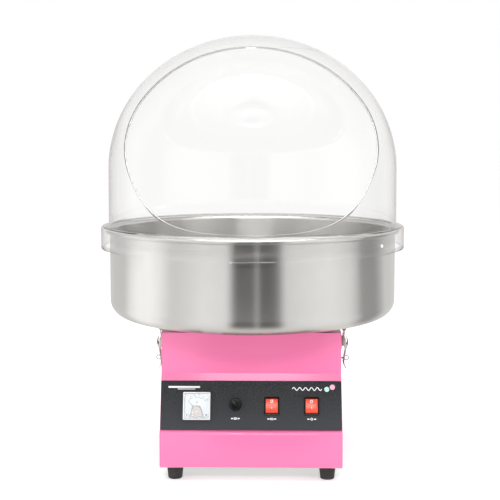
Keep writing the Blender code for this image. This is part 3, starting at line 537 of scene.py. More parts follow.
def arc(centre, radius, start, end, count, flat=1.0):
    """centre + radius (cos a, flat sin a), as a runs from start to end in degrees."""
    a = np.radians(np.linspace(start, end, count))
    return np.stack([centre[0] + radius * np.cos(a), centre[1] + flat * radius * np.sin(a)], 1)


def line(*points):
    return np.array(points, float)


def rounded(corners, radii, steps=6, closed=True):
    """Straight sides through the corners, with each corner turned into an arc that touches both sides.

    An arc of radius r at a corner whose half angle is h starts r / tan(h) away from the corner, and its
    centre lies r / sin(h) along the corner's bisector.
    """
    corners = np.array(corners, float)
    radii = np.broadcast_to(radii, len(corners))
    parts = []
    for i, (corner, radius) in enumerate(zip(corners, radii)):
        before, after = corners[i - 1], corners[(i + 1) % len(corners)]
        if radius == 0 or (not closed and i in (0, len(corners) - 1)):
            parts.append(corner[None])
            continue
        u = (before - corner) / np.linalg.norm(before - corner)
        v = (after - corner) / np.linalg.norm(after - corner)
        half = math.acos(np.clip(u @ v, -1, 1)) / 2
        middle = corner + (u + v) / np.linalg.norm(u + v) * radius / math.sin(half)
        first = corner + u * radius / math.tan(half) - middle
        last = corner + v * radius / math.tan(half) - middle
        start = math.atan2(first[1], first[0])
        sweep = (math.atan2(last[1], last[0]) - start + math.pi) % math.tau - math.pi
        a = start + sweep * np.linspace(0, 1, steps)
        parts.append(middle + radius * np.stack([np.cos(a), np.sin(a)], 1))
    return np.concatenate(parts)


def rectangle(half_x, half_y, corner=0.0, centre=(0, 0), steps=6):
    """A rectangle with round corners, counterclockwise."""
    corners = [(half_x, half_y), (-half_x, half_y), (-half_x, -half_y), (half_x, -half_y)]
    return rounded(corners, corner, steps) + centre


def counterclockwise(outline):
    """Turns a closed outline round if its signed area, half the sum of x dy - y dx, is negative."""
    ahead = np.roll(outline, -1, 0)
    area = (outline[:, 0] * ahead[:, 1] - outline[:, 1] * ahead[:, 0]).sum()
    return outline if area > 0 else outline[::-1]


def inset(outline, distance):
    """A closed outline moved square inwards: both sides' normals n and m give (n + m) / (1 + n.m)."""
    ahead = np.roll(outline, -1, 0) - outline
    ahead /= np.linalg.norm(ahead, axis=1, keepdims=True)
    normal = np.stack([-ahead[:, 1], ahead[:, 0]], 1)
    before = np.roll(normal, 1, 0)
    return outline + distance * (normal + before) / (1 + (normal * before).sum(1))[:, None]


def strip(path, thickness, side=0.0):
    """The outline of a bent sheet. Side 0 sets the path at its middle, and 1 at its left face."""
    steps = np.diff(path, axis=0)
    steps /= np.linalg.norm(steps, axis=1, keepdims=True)
    first = np.vstack([steps[:1], steps])
    last = np.vstack([steps, steps[-1:]])
    n, m = (np.stack([-s[:, 1], s[:, 0]], 1) for s in (first, last))
    normal = (n + m) / (1 + (n * m).sum(1))[:, None]
    left = path + normal * thickness * (1 - side) / 2
    right = path - normal * thickness * (1 + side) / 2
    return counterclockwise(np.vstack([left, right[::-1]]))


# ------------------------------------------------------------------ surfaces


def grid_faces(rows, columns, wrap_rows=False, wrap_columns=False):
    """Four-sided faces between neighbours of a grid of points, numbered row by row."""
    i, j = np.meshgrid(
        np.arange(rows - (not wrap_rows)), np.arange(columns - (not wrap_columns)), indexing="ij"
    )
    here, below, beside = i * columns, (i + 1) % rows * columns, (j + 1) % columns
    faces = np.stack([here + j, here + beside, below + beside, below + j], -1)
    return faces.reshape(-1, 4).tolist()


def together(*shapes):
    """Several shapes as one."""
    points, faces, count = [], [], 0
    for some_points, some_faces in shapes:
        points.append(some_points)
        faces += [[index + count for index in face] for face in some_faces]
        count += len(some_points)
    return np.vstack(points), faces


def lathe(profile, turns=TURNS):
    """A closed profile of (radius r, height z) turned about Z: (r cos a, r sin a, z)."""
    a = np.linspace(0, math.tau, turns, endpoint=False)
    radius, height = np.asarray(profile)[:, 0, None], np.asarray(profile)[:, 1, None]
    points = np.stack([radius * np.cos(a), radius * np.sin(a), height + 0 * a], -1)
    return points.reshape(-1, 3), grid_faces(len(profile), turns, True, True)


def rings(outlines, heights):
    """A solid whose outline runs through a list of outlines with equal counts, closed flat at both ends."""
    count = len(outlines[0])
    points = [np.column_stack([outline, np.full(count, z)]) for outline, z in zip(outlines, heights)]
    caps = [list(range(count))[::-1], [(len(outlines) - 1) * count + i for i in range(count)]]
    return np.vstack(points), grid_faces(len(outlines), count, False, True) + caps


def slab(outline, low, high, edge=0.3 * MM, steps=3):
    """A plate: the outline from low to high, drawn in along a quarter circle of the edge at each end."""
    outline = counterclockwise(outline)
    turn = np.linspace(0, math.pi / 2, steps)
    drawn_in, up = edge * (1 - np.sin(turn)), edge * (1 - np.cos(turn))
    insets = [*drawn_in, *drawn_in[::-1]]
    heights = [*(low + up), *(high - up[::-1])]
    return rings([inset(outline, d) for d in insets], heights)


def swept(section, path, across, closed=False):
    """A section (a, b) carried along a path: point + a (across x tangent) + b across.

    Across is one direction for a flat path, or one for each point.
    """
    tangent = np.roll(path, -1, 0) - np.roll(path, 1, 0) if closed else np.gradient(path, axis=0)
    tangent /= np.linalg.norm(tangent, axis=1, keepdims=True)
    across = np.broadcast_to(np.array(across, float), path.shape)
    normal = np.cross(across, tangent)
    points = path[:, None] + section[None, :, :1] * normal[:, None] + section[None, :, 1:] * across[:, None]
    count = len(section)
    caps = [list(range(count)), [(len(path) - 1) * count + i for i in range(count)][::-1]]
    return points.reshape(-1, 3), grid_faces(len(path), count, closed, True) + caps * (not closed)


def moved(shape, shift=(0, 0, 0), axes=((1, 0, 0), (0, 1, 0), (0, 0, 1))):
    """The shape's x, y and z laid along three axes, then shifted."""
    points, faces = shape
    return points @ np.array(axes, float) + shift, faces


def on_panel(shape):
    """From the sloping face's own frame into the machine's."""
    up = (0, math.sin(PANEL_TILT), math.cos(PANEL_TILT))
    out = (0, -math.cos(PANEL_TILT), math.sin(PANEL_TILT))
    return moved(shape, PANEL_MIDDLE, ((1, 0, 0), up, out))


def turned_in_plane(shape, angle):
    """The shape turned about its own Z."""
    c, s = math.cos(angle), math.sin(angle)
    return moved(shape, (0, 0, 0), ((c, s, 0), (-s, c, 0), (0, 0, 1)))


def across_machine(shape):
    """A plate drawn as (y, z) with its thickness along x."""
    return moved(shape, (0, 0, 0), ((0, 1, 0), (0, 0, 1), (1, 0, 0)))


def beside_machine(shape, side):
    """A plate drawn as (distance out, z) on one side, with its thickness along y."""
    return moved(shape, (0, 0, 0), ((side, 0, 0), (0, 0, 1), (0, 1, 0)))


# ------------------------------------------------------------------ pieces


def mesh_of(name, shape):
    """A mesh with its doubles merged, stray edges between poles removed, and its faces turned outwards."""
    points, faces = shape
    mesh = bpy.data.meshes.new(name)
    mesh.from_pydata(points.tolist(), [], faces)
    bm = bmesh.new()
    bm.from_mesh(mesh)
    bmesh.ops.remove_doubles(bm, verts=bm.verts, dist=2e-7)
    stray = [edge for edge in bm.edges if not edge.link_faces]
    bmesh.ops.delete(bm, geom=stray, context="EDGES")
    bmesh.ops.recalc_face_normals(bm, faces=bm.faces)
    bm.to_mesh(mesh)
    bm.free()
    return mesh


def piece(name, shape, slot, body="root", replaces=(), finish=None, sharp=38):
    """Makes a finished piece, puts it on its body, and hides the nodes that it stands for."""
    mesh = mesh_of(name, shape)
    mesh.materials.append(finishes()[finish or slot].material)
    mesh.shade_smooth()
    mesh.set_sharp_from_angle(angle=math.radians(sharp))
    made = bpy.data.objects.new(name, mesh)
    bpy.context.scene.collection.objects.link(made)
    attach(made, body)
    if replaces:
        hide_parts(*replaces)
    return made


def cut_through(made, *shapes):
    """Cuts shapes out of a piece for good."""
    for number, shape in enumerate(shapes):
        tool = bpy.data.objects.new(f"tool_{number}", mesh_of("tool", shape))
        bpy.context.scene.collection.objects.link(tool)
        modifier = made.modifiers.new("cut", "BOOLEAN")
        modifier.object = tool
        modifier.solver = "EXACT"
        bpy.context.view_layer.update()
        evaluated = made.evaluated_get(bpy.context.evaluated_depsgraph_get())
        cut = bpy.data.meshes.new_from_object(evaluated)
        made.modifiers.clear()
        made.data = cut
        bpy.data.objects.remove(tool)


def refinish(slot, *names):
    """Gives frame nodes that keep their shape a finished material."""
    for name in names:
        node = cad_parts[name]
        node.data.materials.clear()
        node.data.materials.append(finishes()[slot].material)


# ------------------------------------------------------------------ bowl and dome


class MACHINE_OT_bowl(bpy.types.Operator):
    """Spun bowl: flat floor, round corner, upright wall and a rim rolled outwards over a bead"""

    bl_idname = "machine.bowl"
    bl_label = "Bowl"

    def execute(self, context):
        sizes = context.scene.machine_sizes
        wall, corner = sizes.bowl_wall, sizes.bowl_corner
        outer = BEAD_CENTRE[0] - 5 * MM
        inner = outer - wall
        middle = (outer - corner, BOWL_BOTTOM + corner)
        hole = 60 * MM
        roll, reach = BOWL_TOP - 6.9 * MM, BEAD_CENTRE[0] - inner
        profile = np.vstack([
            line((hole, BOWL_BOTTOM)),
            arc(middle, corner, -90, 0, 16),
            line((outer, BEAD_CENTRE[1] - 4.6 * MM)),
            arc(BEAD_CENTRE, BEAD_RADIUS, -145, 90, 22),
            arc((BEAD_CENTRE[0], roll), reach, 90, 180, 10, (BOWL_TOP - roll) / reach),
            arc(middle, corner - wall, 0, -90, 16),
            line((hole, BOWL_BOTTOM + wall)),
        ])
        piece("spun_bowl", lathe(profile, 256), "brushed_steel", replaces=["bowl"])
        return {"FINISHED"}


def dome_path():
    """The dome's outer face from its crown to the skirt's hem, as (radius, height).

    The crown is a quarter ellipse. Below it come the upright wall, a fillet, the flange over the
    bowl's bead, a round shoulder and the skirt.
    """
    wall, rise = DOME_RADIUS, DOME_TOP - DOME_SPRING
    fillet, shoulder = 3 * MM, 4.5 * MM
    crown = arc((0, DOME_SPRING), wall, 90, 0, 90, rise / wall)
    crown[0, 0] = 0
    upright = np.linspace((wall, DOME_SPRING), (wall, FLANGE_TOP + fillet), 34)[1:-1]
    foot = arc((wall + fillet, FLANGE_TOP + fillet), fillet, 180, 270, 7)
    edge = arc((SKIRT_RADIUS - shoulder, FLANGE_TOP - shoulder), shoulder, 90, 0, 9)
    skirt = np.linspace((SKIRT_RADIUS, FLANGE_TOP - 12 * MM), (SKIRT_RADIUS, SKIRT_BOTTOM), 4)
    return np.vstack([crown, upright, foot, edge, skirt])


def mouth_profile():
    """The mouth's edge seen from the side, as (distance forward of the axis, height), sill first."""
    t = np.linspace(0, 1, 160)[:, None]
    a, b, c, d = (np.array(p) * MM for p in ((262, 426), (190, 437), (133, 560), (130, 640)))
    curve = a * (1 - t) ** 3 + 3 * b * t * (1 - t) ** 2 + 3 * c * t * t * (1 - t) + d * t ** 3
    return np.vstack([curve, [[MOUTH_BACK, 0.9]]])


class MACHINE_OT_dome(bpy.types.Operator):
    """Clear dome in one piece with its skirt, its mouth cut along a curve that is drawn from the side"""

    bl_idname = "machine.dome"
    bl_label = "Dome"

    def execute(self, context):
        sizes = context.scene.machine_sizes
        path = dome_path()
        edge = mouth_profile()
        top = DOME_SPRING + (DOME_TOP - DOME_SPRING) * math.sqrt(1 - (MOUTH_BACK / DOME_RADIUS) ** 2)
        path = with_mouth_rows(path, MOUTH_SILL, top)
        radius, height = path[:, 0], path[:, 1]
        forward = np.interp(height, edge[:, 1], edge[:, 0], left=1.0)
        half = np.arccos(np.clip(forward / np.maximum(radius, 1e-9), -1, 1))
        half = np.where((height > MOUTH_SILL) & (height < top), half, 0.0)
        u = np.linspace(0, 1, 201)
        angle = half[:, None] + u[None] * (math.tau - 2 * half[:, None])
        points = np.stack(np.broadcast_arrays(
            radius[:, None] * np.sin(angle), -radius[:, None] * np.cos(angle), height[:, None],
        ), -1)
        shape = points.reshape(-1, 3), grid_faces(len(path), len(u))
        dome = piece("clear_dome", shape, "clear_plastic", body="dome", replaces=["dome"], sharp=60)
        inwards = dome.data.polygons[0].normal.z < 0
        wall = dome.modifiers.new("wall", "SOLIDIFY")
        wall.thickness = sizes.dome_wall
        wall.offset = 1 if inwards else -1
        soft = dome.modifiers.new("soft_edges", "BEVEL")
        soft.width, soft.segments, soft.limit_method = 0.5 * MM, 2, "ANGLE"
        soft.angle_limit = math.radians(50)
        self.cut_edge(points, (height > MOUTH_SILL) & (height < top))
        make_stud()
        return {"FINISHED"}

    def cut_edge(self, points, open_rows):
        """Frosted strip on the sawn edge: a flat section carried round the mouth, square to the wall."""
        rows = points.reshape(len(open_rows), -1, 3)[open_rows]
        loop = np.vstack([rows[:, 0], rows[::-1, -1]])
        steepness = (DOME_RADIUS / (DOME_TOP - DOME_SPRING)) ** 2
        rise = steepness * np.maximum(loop[:, 2] - DOME_SPRING, 0)
        outward = np.stack([loop[:, 0], loop[:, 1], rise], 1)
        outward /= np.linalg.norm(outward, axis=1, keepdims=True)
        section = rectangle(0.06 * MM, 1.3 * MM, 0, (0, -1.5 * MM), 2)
        shape = swept(section + (0.1 * MM, 0), loop, outward, closed=True)
        piece("mouth_edge", shape, "clear_plastic", body="dome", finish="cut_edge")


def with_mouth_rows(path, low, high):
    """Adds rows near both ends of the mouth, closer and closer together, since its sides close quickly."""
    grown = 40 * MM * np.linspace(0, 1, 13) ** 2
    height = path[:, 1]
    descending = height[::-1]
    for extra in (*(low + grown), *(high - grown)):
        at = len(height) - np.searchsorted(descending, extra)
        if np.abs(height - extra).min() < 1e-7 or at >= len(height):
            continue
        share = (height[at - 1] - extra) / (height[at - 1] - height[at])
        added = path[at - 1] + share * (path[at] - path[at - 1])
        if extra > DOME_SPRING:
            rise = (extra - DOME_SPRING) / (DOME_TOP - DOME_SPRING)
            added[0] = DOME_RADIUS * math.sqrt(1 - rise * rise)
        path = np.insert(path, at, added, 0)
        height = path[:, 1]
        descending = height[::-1]
    return path


def make_stud():
    """A white plastic stud pressed through the skirt: a shank and a domed head, turned about its own axis."""
    profile = np.vstack([
        line((0, -5 * MM), (1.5 * MM, -5 * MM), (1.5 * MM, 0.4 * MM), (2.8 * MM, 0.4 * MM)),
        arc((0, 0.9 * MM), 3 * MM, 0, 90, 8, 0.7),
    ])
    profile[-1, 0] = 0
    c, s = math.cos(STUD_ANGLE), math.sin(STUD_ANGLE)
    out = np.array((s, -c, 0))
    place = out * SKIRT_RADIUS + (0, 0, STUD_HEIGHT)
    shape = moved(lathe(profile, 32), place, ((c, s, 0), (0, 0, 1), out))
    piece("skirt_stud", shape, "clear_plastic", body="dome", replaces=["dome_stud"], finish="white_plastic")


class MACHINE_OT_deck(bpy.types.Operator):
    """Cast collar on the deck, with its spigot, and the rubber gasket that the bowl rests on"""

    bl_idname = "machine.deck"
    bl_label = "Deck collar"

    def execute(self, context):
        low = DECK_TOP + GAP
        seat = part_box("bowl_gasket")[0].z - GAP
        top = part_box("deck_collar")[1].z
        collar = rounded([
            (50 * MM, low), (122 * MM, low), (120 * MM, seat), (57 * MM, seat), (57 * MM, top),
            (50 * MM, top),
        ], [0, 1 * MM, 1.5 * MM, 1 * MM, 1.5 * MM, 1 * MM])
        piece("collar_casting", lathe(collar), "dark_casting", replaces=["deck_collar"])
        low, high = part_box("bowl_gasket")[0].z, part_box("bowl_gasket")[1].z
        ring = rounded([(62 * MM, low), (116 * MM, low), (116 * MM, high), (62 * MM, high)], 1.4 * MM)
        piece("gasket_ring", lathe(ring), "black_rubber", replaces=["bowl_gasket"])
        return {"FINISHED"}


# ------------------------------------------------------------------ casing


def fascia_path():
    """The front sheet's outer face from the deck down, as (y, z), with every bend as an arc."""
    corners = np.array([
        (-142, 248), (-142, 178.6), (-148, 167), (-172, 88), (-180, 88), (-180, 24), (-165, 24),
    ]) * MM
    return rounded(corners, np.array([0, 4, 2.5, 0.6, 7.4, 8, 0]) * MM, 10, closed=False)


def panel_openings():
    """Cut-outs for the meter's barrel, the fuse holder and both switches."""
    deep = 12 * MM
    outlines = [arc(METER_AT, 19 * MM, 0, 354, 60), arc(FUSE_AT, 8 * MM, 0, 350, 36)]
    outlines += [rectangle(11.6 * MM, 13.9 * MM, centre=place, steps=2) for place in SWITCHES_AT.values()]
    return [on_panel(slab(outline, -deep, deep, 0.01 * MM, 2)) for outline in outlines]


class MACHINE_OT_casing(bpy.types.Operator):
    """Folded and painted sheet: the front with its bends, the sides, the deck and the rear cover"""

    bl_idname = "machine.casing"
    bl_label = "Casing"

    def execute(self, context):
        sheet = context.scene.machine_sizes.sheet
        outline = strip(fascia_path(), sheet, -1)
        shape = across_machine(slab(outline, -HALF_WIDTH, HALF_WIDTH, 0.45 * MM, 4))
        front = piece("front_sheet", shape, "pink_paint", replaces=["front_fascia"], sharp=32)
        cut_through(front, *panel_openings())
        front.data.set_sharp_from_angle(angle=math.radians(32))
        refinish("pink_paint", "side_panel_left", "side_panel_right", "top_deck", "rear_cover")
        refinish("zinc_sheet", "bottom_plate")
        return {"FINISHED"}


class MACHINE_OT_feet(bpy.types.Operator):
    """Four tapered rubber feet with a hollow tread, each on its own stud"""

    bl_idname = "machine.feet"
    bl_label = "Feet"

    def execute(self, context):
        recess, tread, tip, wide, stud = 3 * MM, 5 * MM, 12 * MM, 14.5 * MM, 3 * MM
        top = CASING_BOTTOM - GAP
        stud_top = top + 9 * MM
        corners = [(tread, recess), (tread, 0), (tip, 0), (wide, top), (stud, top), (stud, stud_top)]
        profile = np.vstack([
            line((0, recess)),
            rounded(corners, np.array([0.4, 0.5, 1.4, 1.2, 0, 0.3]) * MM),
            line((0, stud_top)),
        ])
        for end in ("front", "rear"):
            for side in ("left", "right"):
                name = f"foot_{end}_{side}"
                low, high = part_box(name)
                middle = ((low.x + high.x) / 2, (low.y + high.y) / 2, 0)
                piece(f"rubber_{name}", moved(lathe(profile, 64), middle), "black_rubber", replaces=[name])
        return {"FINISHED"}


# ------------------------------------------------------------------ control panel


def print_on_panel(outlines, height=PANEL_FACE, film=0.04 * MM):
    """Flat printed shapes, standing a hair's breadth out of the panel's face."""
    return on_panel(together(*(slab(outline, height, height + film, 0.008 * MM, 2) for outline in outlines)))


def wave(start, length, swing, turns, width, count=60):
    """A waving line: across = start + length t, up = swing sin(2 pi turns t)."""
    t = np.linspace(0, 1, count)
    path = np.stack([start[0] + length * t, start[1] + swing * np.sin(math.tau * turns * t)], 1)
    return strip(path, width)


def bar(centre, width, height):
    corner = min(width, height) * 0.3
    return rectangle(width / 2, height / 2, corner, centre, 4)


def arc_band(centre, radius, width, start, end, count=28):
    """A band that follows an arc."""
    return strip(arc(centre, radius, start, end, count), width)


def ring_print(centre, radius, width):
    """A closed ring as two half bands that meet."""
    return [arc_band(centre, radius, width, start, start + 180.5) for start in (0, 180)]


def control_marks(place, drop, kind):
    """A plain sign under a control, between two short rules."""
    x, y = place[0], place[1] - drop
    outlines = [bar((x + side * 5.6 * MM, y), 3.8 * MM, 1.9 * MM) for side in (-1, 1)]
    if kind == "fuse":
        outlines += [bar((x, y + up * MM), 5.4 * MM, 0.9 * MM) for up in (-1.35, 0, 1.35)]
    if kind == "heat":
        for across in (-2, 0, 2):
            path = wave((0, 0), 3.8 * MM, 0.45 * MM, 1, 1.1 * MM, 20)
            outlines.append(path[:, ::-1] + (x + across * MM, y - 1.9 * MM))
    if kind == "power":
        outlines.append(arc_band((x, y), 1.75 * MM, 0.95 * MM, 125, 415, 22))
        outlines.append(bar((x, y + 1.3 * MM), 1.0 * MM, 2.2 * MM))
    return outlines


class MACHINE_OT_control_panel(bpy.types.Operator):
    """Black film panel with plain printed marks"""

    bl_idname = "machine.control_panel"
    bl_label = "Control panel"

    def execute(self, context):
        refinish("panel_black", "control_panel")
        outlines = control_marks(FUSE_AT, 23.5 * MM, "fuse")
        for kind, place in SWITCHES_AT.items():
            outlines += control_marks(place, 21.5 * MM, kind)
        outlines.append(bar((-114 * MM, 30.2 * MM), 54 * MM, 3.0 * MM))
        outlines.append(bar((-110 * MM, 26.8 * MM), 30 * MM, 1.2 * MM))
        outlines.append(wave((70 * MM, 27.5 * MM), 50 * MM, 2.4 * MM, 5, 1.4 * MM, 120))
        piece("printed_marks", print_on_panel(outlines), "panel_black", finish="marks_ink")
        for name, place, radius in (("mint", (128.5, 27), 4.2), ("pink", (138, 30.6), 4.5)):
            dot = arc(np.array(place) * MM, radius * MM, 0, 350, 36)
            piece(f"{name}_dot", print_on_panel([dot]), "panel_black", finish=f"{name}_ink")
        return {"FINISHED"}


def frame_of_rings(halves, heights, corner, centre):
    """A solid carried round rounded rectangles: each row has its half sizes (x, y) and its height."""
    outlines = []
    widest = max(half_x for half_x, _ in halves)
    for half_x, half_y in halves:
        shrink = min(widest - half_x, corner * 0.8)
        outlines.append(rectangle(half_x, half_y, max(corner - shrink, 0.2 * MM), centre, 6))
    return rings(outlines, heights)


def dial_marks():
    """Scale arc, ticks and a V sign, round the needle's pivot."""
    x, y = METER_AT
    pivot = np.array((x, y - METER_PIVOT_DROP))
    sweep = math.degrees(METER_REST)
    scale = 21.6 * MM
    outlines = [arc_band(pivot, scale, 0.35 * MM, 90 - sweep, 90 + sweep, 40)]
    for tick in range(26):
        angle = math.radians(90 + sweep - 2 * sweep * tick / 25)
        along = np.array((math.cos(angle), math.sin(angle)))
        length = 1.7 * MM if tick % 5 == 0 else 0.9 * MM
        width = 0.5 * MM if tick % 5 == 0 else 0.22 * MM
        outlines.append(strip(np.stack([pivot + along * scale, pivot + along * (scale + length)]), width))
    top = y + 8.6 * MM
    for side in (-1, 1):
        stroke = line((x + side * 1.5 * MM, top), (x + side * 0.15 * MM, top - 3.6 * MM))
        outlines.append(strip(stroke, 0.75 * MM))
    return outlines


def dial_numbers():
    """Numbers round the scale, from zero to the meter's full range, made as flat meshes."""
    x, y = METER_AT
    sweep, reach, rise = METER_REST, 25.1 * MM, DIAL_TOP + 0.05 * MM
    shapes = []
    for step, number in enumerate(("0", "50", "100", "150", "200", "250")):
        text = bpy.data.curves.new("number", "FONT")
        text.body, text.size, text.align_x, text.align_y = number, 2.5 * MM, "CENTER", "CENTER"
        carrier = bpy.data.objects.new("number", text)
        bpy.context.scene.collection.objects.link(carrier)
        bpy.context.view_layer.update()
        flat = carrier.evaluated_get(bpy.context.evaluated_depsgraph_get()).to_mesh()
        points = np.empty(len(flat.vertices) * 3)
        flat.vertices.foreach_get("co", points)
        faces = [list(face.vertices) for face in flat.polygons]
        bpy.data.objects.remove(carrier)
        angle = sweep - 2 * sweep * step / 5
        shape = turned_in_plane((points.reshape(-1, 3), faces), angle)
        up = y - METER_PIVOT_DROP + reach * math.cos(angle)
        shapes.append(moved(shape, (x - reach * math.sin(angle), up, rise)))
    return together(*shapes)


class MACHINE_OT_meter(bpy.types.Operator):
    """Panel meter: white case, printed dial, needle on its hub, hump over the movement, clear lens"""

    bl_idname = "machine.meter"
    bl_label = "Meter"

    def execute(self, context):
        x, y = METER_AT
        front = PANEL_BASE + 8 * MM
        half, window = METER_HALF, 20.8 * MM
        rows = [
            (half, PANEL_BASE), (half, front - 0.9 * MM), (half - 0.3 * MM, front - 0.25 * MM),
            (half - 0.9 * MM, front), (window + 0.5 * MM, front), (window, front - 0.5 * MM),
            (window, 3.4 * MM),
        ]
        case = frame_of_rings([(h, h) for h, _ in rows], [z for _, z in rows], 1.6 * MM, METER_AT)
        barrel = slab(arc(METER_AT, 18.5 * MM, 0, 354, 60), -24 * MM, PANEL_BASE - 0.02 * MM, 0.8 * MM)
        piece("meter_housing", on_panel(together(case, barrel)), "white_plastic", replaces=["meter_case"])
        card = window - 0.4 * MM
        square = rectangle(card, card, 0.3 * MM, METER_AT, 3)
        plate = slab(square, DIAL_TOP - 0.8 * MM, DIAL_TOP, 0.1 * MM)
        piece("dial_plate", on_panel(plate), "dial_card", replaces=["meter_dial"])
        film = 0.04 * MM
        printed = together(*(slab(o, DIAL_TOP, DIAL_TOP + film, 0.008 * MM, 2) for o in dial_marks()))
        piece("dial_scale", on_panel(printed), "dial_card", finish="dial_ink")
        numbers = piece("dial_numbers", on_panel(dial_numbers()), "dial_card", finish="dial_ink")
        body = numbers.modifiers.new("film", "SOLIDIFY")
        body.thickness, body.offset = film, 0
        self.hump(x, y)
        self.needle(x, y - METER_PIVOT_DROP)
        lens = slab(square, front - 1.4 * MM, front - 0.2 * MM, 0.15 * MM)
        piece("meter_window", on_panel(lens), "clear_plastic", replaces=["meter_lens"], finish="lens_film")
        return {"FINISHED"}

    def hump(self, x, y):
        """The bell-shaped cover over the movement with a dark rim, on a foot, and two screws beside it."""
        bell = self.bell(x, y, 0)
        foot = rectangle(10 * MM, 1.5 * MM, 0.3 * MM, (x, y - 15.5 * MM), 3)
        plate = slab(bell, DIAL_TOP + 2.0 * MM, DIAL_TOP + 3.2 * MM, 0.5 * MM, 4)
        support = slab(foot, DIAL_TOP + GAP, DIAL_TOP + 2.1 * MM, 0.1 * MM)
        cover = on_panel(together(plate, support))
        piece("movement_cover", cover, "white_plastic", replaces=["meter_cover"], finish="beige_plastic")
        rim = slab(strip(self.bell(x, y, 0.35 * MM)[1:-1], 0.5 * MM), DIAL_TOP, DIAL_TOP + 2.4 * MM, 0.1 * MM)
        piece("cover_rim", on_panel(rim), "dial_card", finish="dial_ink")
        screws = []
        for side in (-1, 1):
            centre = (x + side * 16.3 * MM, y - 14.6 * MM)
            screws.append(slab(arc(centre, 1.25 * MM, 0, 345, 24), DIAL_TOP, DIAL_TOP + 0.7 * MM, 0.3 * MM))
        piece("dial_screws", on_panel(together(*screws)), "brass", finish="motor_steel")

    def bell(self, x, y, grown):
        """A half circle whose sides flare out to the foot: sideways = 8 + 4.5 (1 - (1 - t) ^ 0.6) over t."""
        arch = arc((x, y - 8.5 * MM), 8 * MM + grown, 0, 180, 25)
        t = np.linspace(1, 0, 10)[:-1]
        reach = 8 * MM + grown + 4.5 * MM * (1 - (1 - t) ** 0.6)
        down = y - 8.5 * MM - 9 * MM * t
        right = np.stack([x + reach, down], 1)
        left = np.stack([x - reach, down], 1)[::-1]
        return np.vstack([right, arch, left])

    def needle(self, x, y):
        """Hub, pointer and tail in one flat outline, at rest on the scale's zero."""
        reach, tail, hub = 21.5 * MM, 4.5 * MM, 2 * MM
        outline = np.vstack([
            line((0.16 * MM, reach), (-0.16 * MM, reach), (-0.42 * MM, hub * 0.92)),
            arc((0, 0), hub, 102, 258, 14),
            line((-0.5 * MM, -tail), (0.5 * MM, -tail)),
            arc((0, 0), hub, 282, 438, 14),
            line((0.42 * MM, hub * 0.92)),
        ])
        shape = turned_in_plane(slab(outline, 0, 0.7 * MM, 0.12 * MM, 3), METER_REST)
        pointer = moved(shape, (x, y, DIAL_TOP + 0.5 * MM))
        piece("pointer", on_panel(pointer), "black_plastic", body="meter_pointer", replaces=["meter_needle"])


class MACHINE_OT_fuse(bpy.types.Operator):
    """Panel fuse holder: threaded barrel and flange, fluted cap with a split grip, and the fuse inside"""

    bl_idname = "machine.fuse"
    bl_label = "Fuse holder"

    def execute(self, context):
        base, x, y = PANEL_BASE, *FUSE_AT
        neck = base + 7.2 * MM
        holder = np.vstack([
            line((3.6 * MM, -28 * MM), (0, -28 * MM), (0, -31 * MM)),
            rounded([
                (7.4 * MM, -31 * MM), (7.4 * MM, base), (10.8 * MM, base), (10.8 * MM, base + 2.4 * MM),
                (7.9 * MM, base + 2.4 * MM), (7.9 * MM, neck), (3.6 * MM, neck),
            ], np.array([0.5, 0, 0.3, 1.3, 0.3, 0.5, 0.3]) * MM, 5),
        ])
        socket = on_panel(moved(lathe(holder, 72), (x, y, 0)))
        piece("fuse_socket", socket, "gloss_black_plastic", replaces=["fuse_holder"])
        cap = self.cap(base, neck, x, y)
        piece("fuse_cap_fluted", cap, "gloss_black_plastic", body="fuse_cap", replaces=["fuse_cap"])
        low, high, radius = -26 * MM, neck + 0.7 * MM, 3.15 * MM
        tube = lathe(line((0, low), (radius, low), (radius, high), (0, high)), 40)
        tube = on_panel(moved(tube, (x, y, 0)))
        piece("fuse_tube", tube, "fuse_glass", body="fuse_link", replaces=["fuse_cartridge"])
        refinish("black_plastic", "fuse_nut")
        return {"FINISHED"}

    def cap(self, base, neck, x, y):
        """Cap radius times 1 - 0.008 (1 + cos 24a) below its shoulder gives the flutes."""
        low, top = base + 2.8 * MM, base + 12.5 * MM
        outside = [(8.6 * MM, low), (9.3 * MM, low), (9.1 * MM, top), (0, top)]
        profile = np.vstack([
            line((0, neck + 1.0 * MM), (8.3 * MM, neck + 1.0 * MM), (8.3 * MM, low)),
            rounded(outside, np.array([0, 0.3, 1.8, 0]) * MM, 8),
        ])
        points, faces = lathe(profile, 192)
        angle = np.arctan2(points[:, 1], points[:, 0])
        radius = np.hypot(points[:, 0], points[:, 1])
        fluted = (radius > 8.9 * MM) & (points[:, 2] < top - 1.2 * MM)
        points[:, :2] *= np.where(fluted, 1 - 0.008 * (1 + np.cos(24 * angle)), 1.0)[:, None]
        grips = []
        for side in (-1, 1):
            half = rectangle(0.75 * MM, 7 * MM, 0.5 * MM, (side * 1.05 * MM, 0), 5)
            grips.append(slab(half, top - 0.6 * MM, top + 1.8 * MM, 0.35 * MM, 4))
        grips.append(slab(rectangle(1.2 * MM, 6.6 * MM, 0.2 * MM), top - 0.5 * MM, top + 0.5 * MM, 0.05 * MM))
        slanted = turned_in_plane(together(*grips), math.radians(45))
        return on_panel(moved(together((points, faces), slanted), (x, y, 0)))


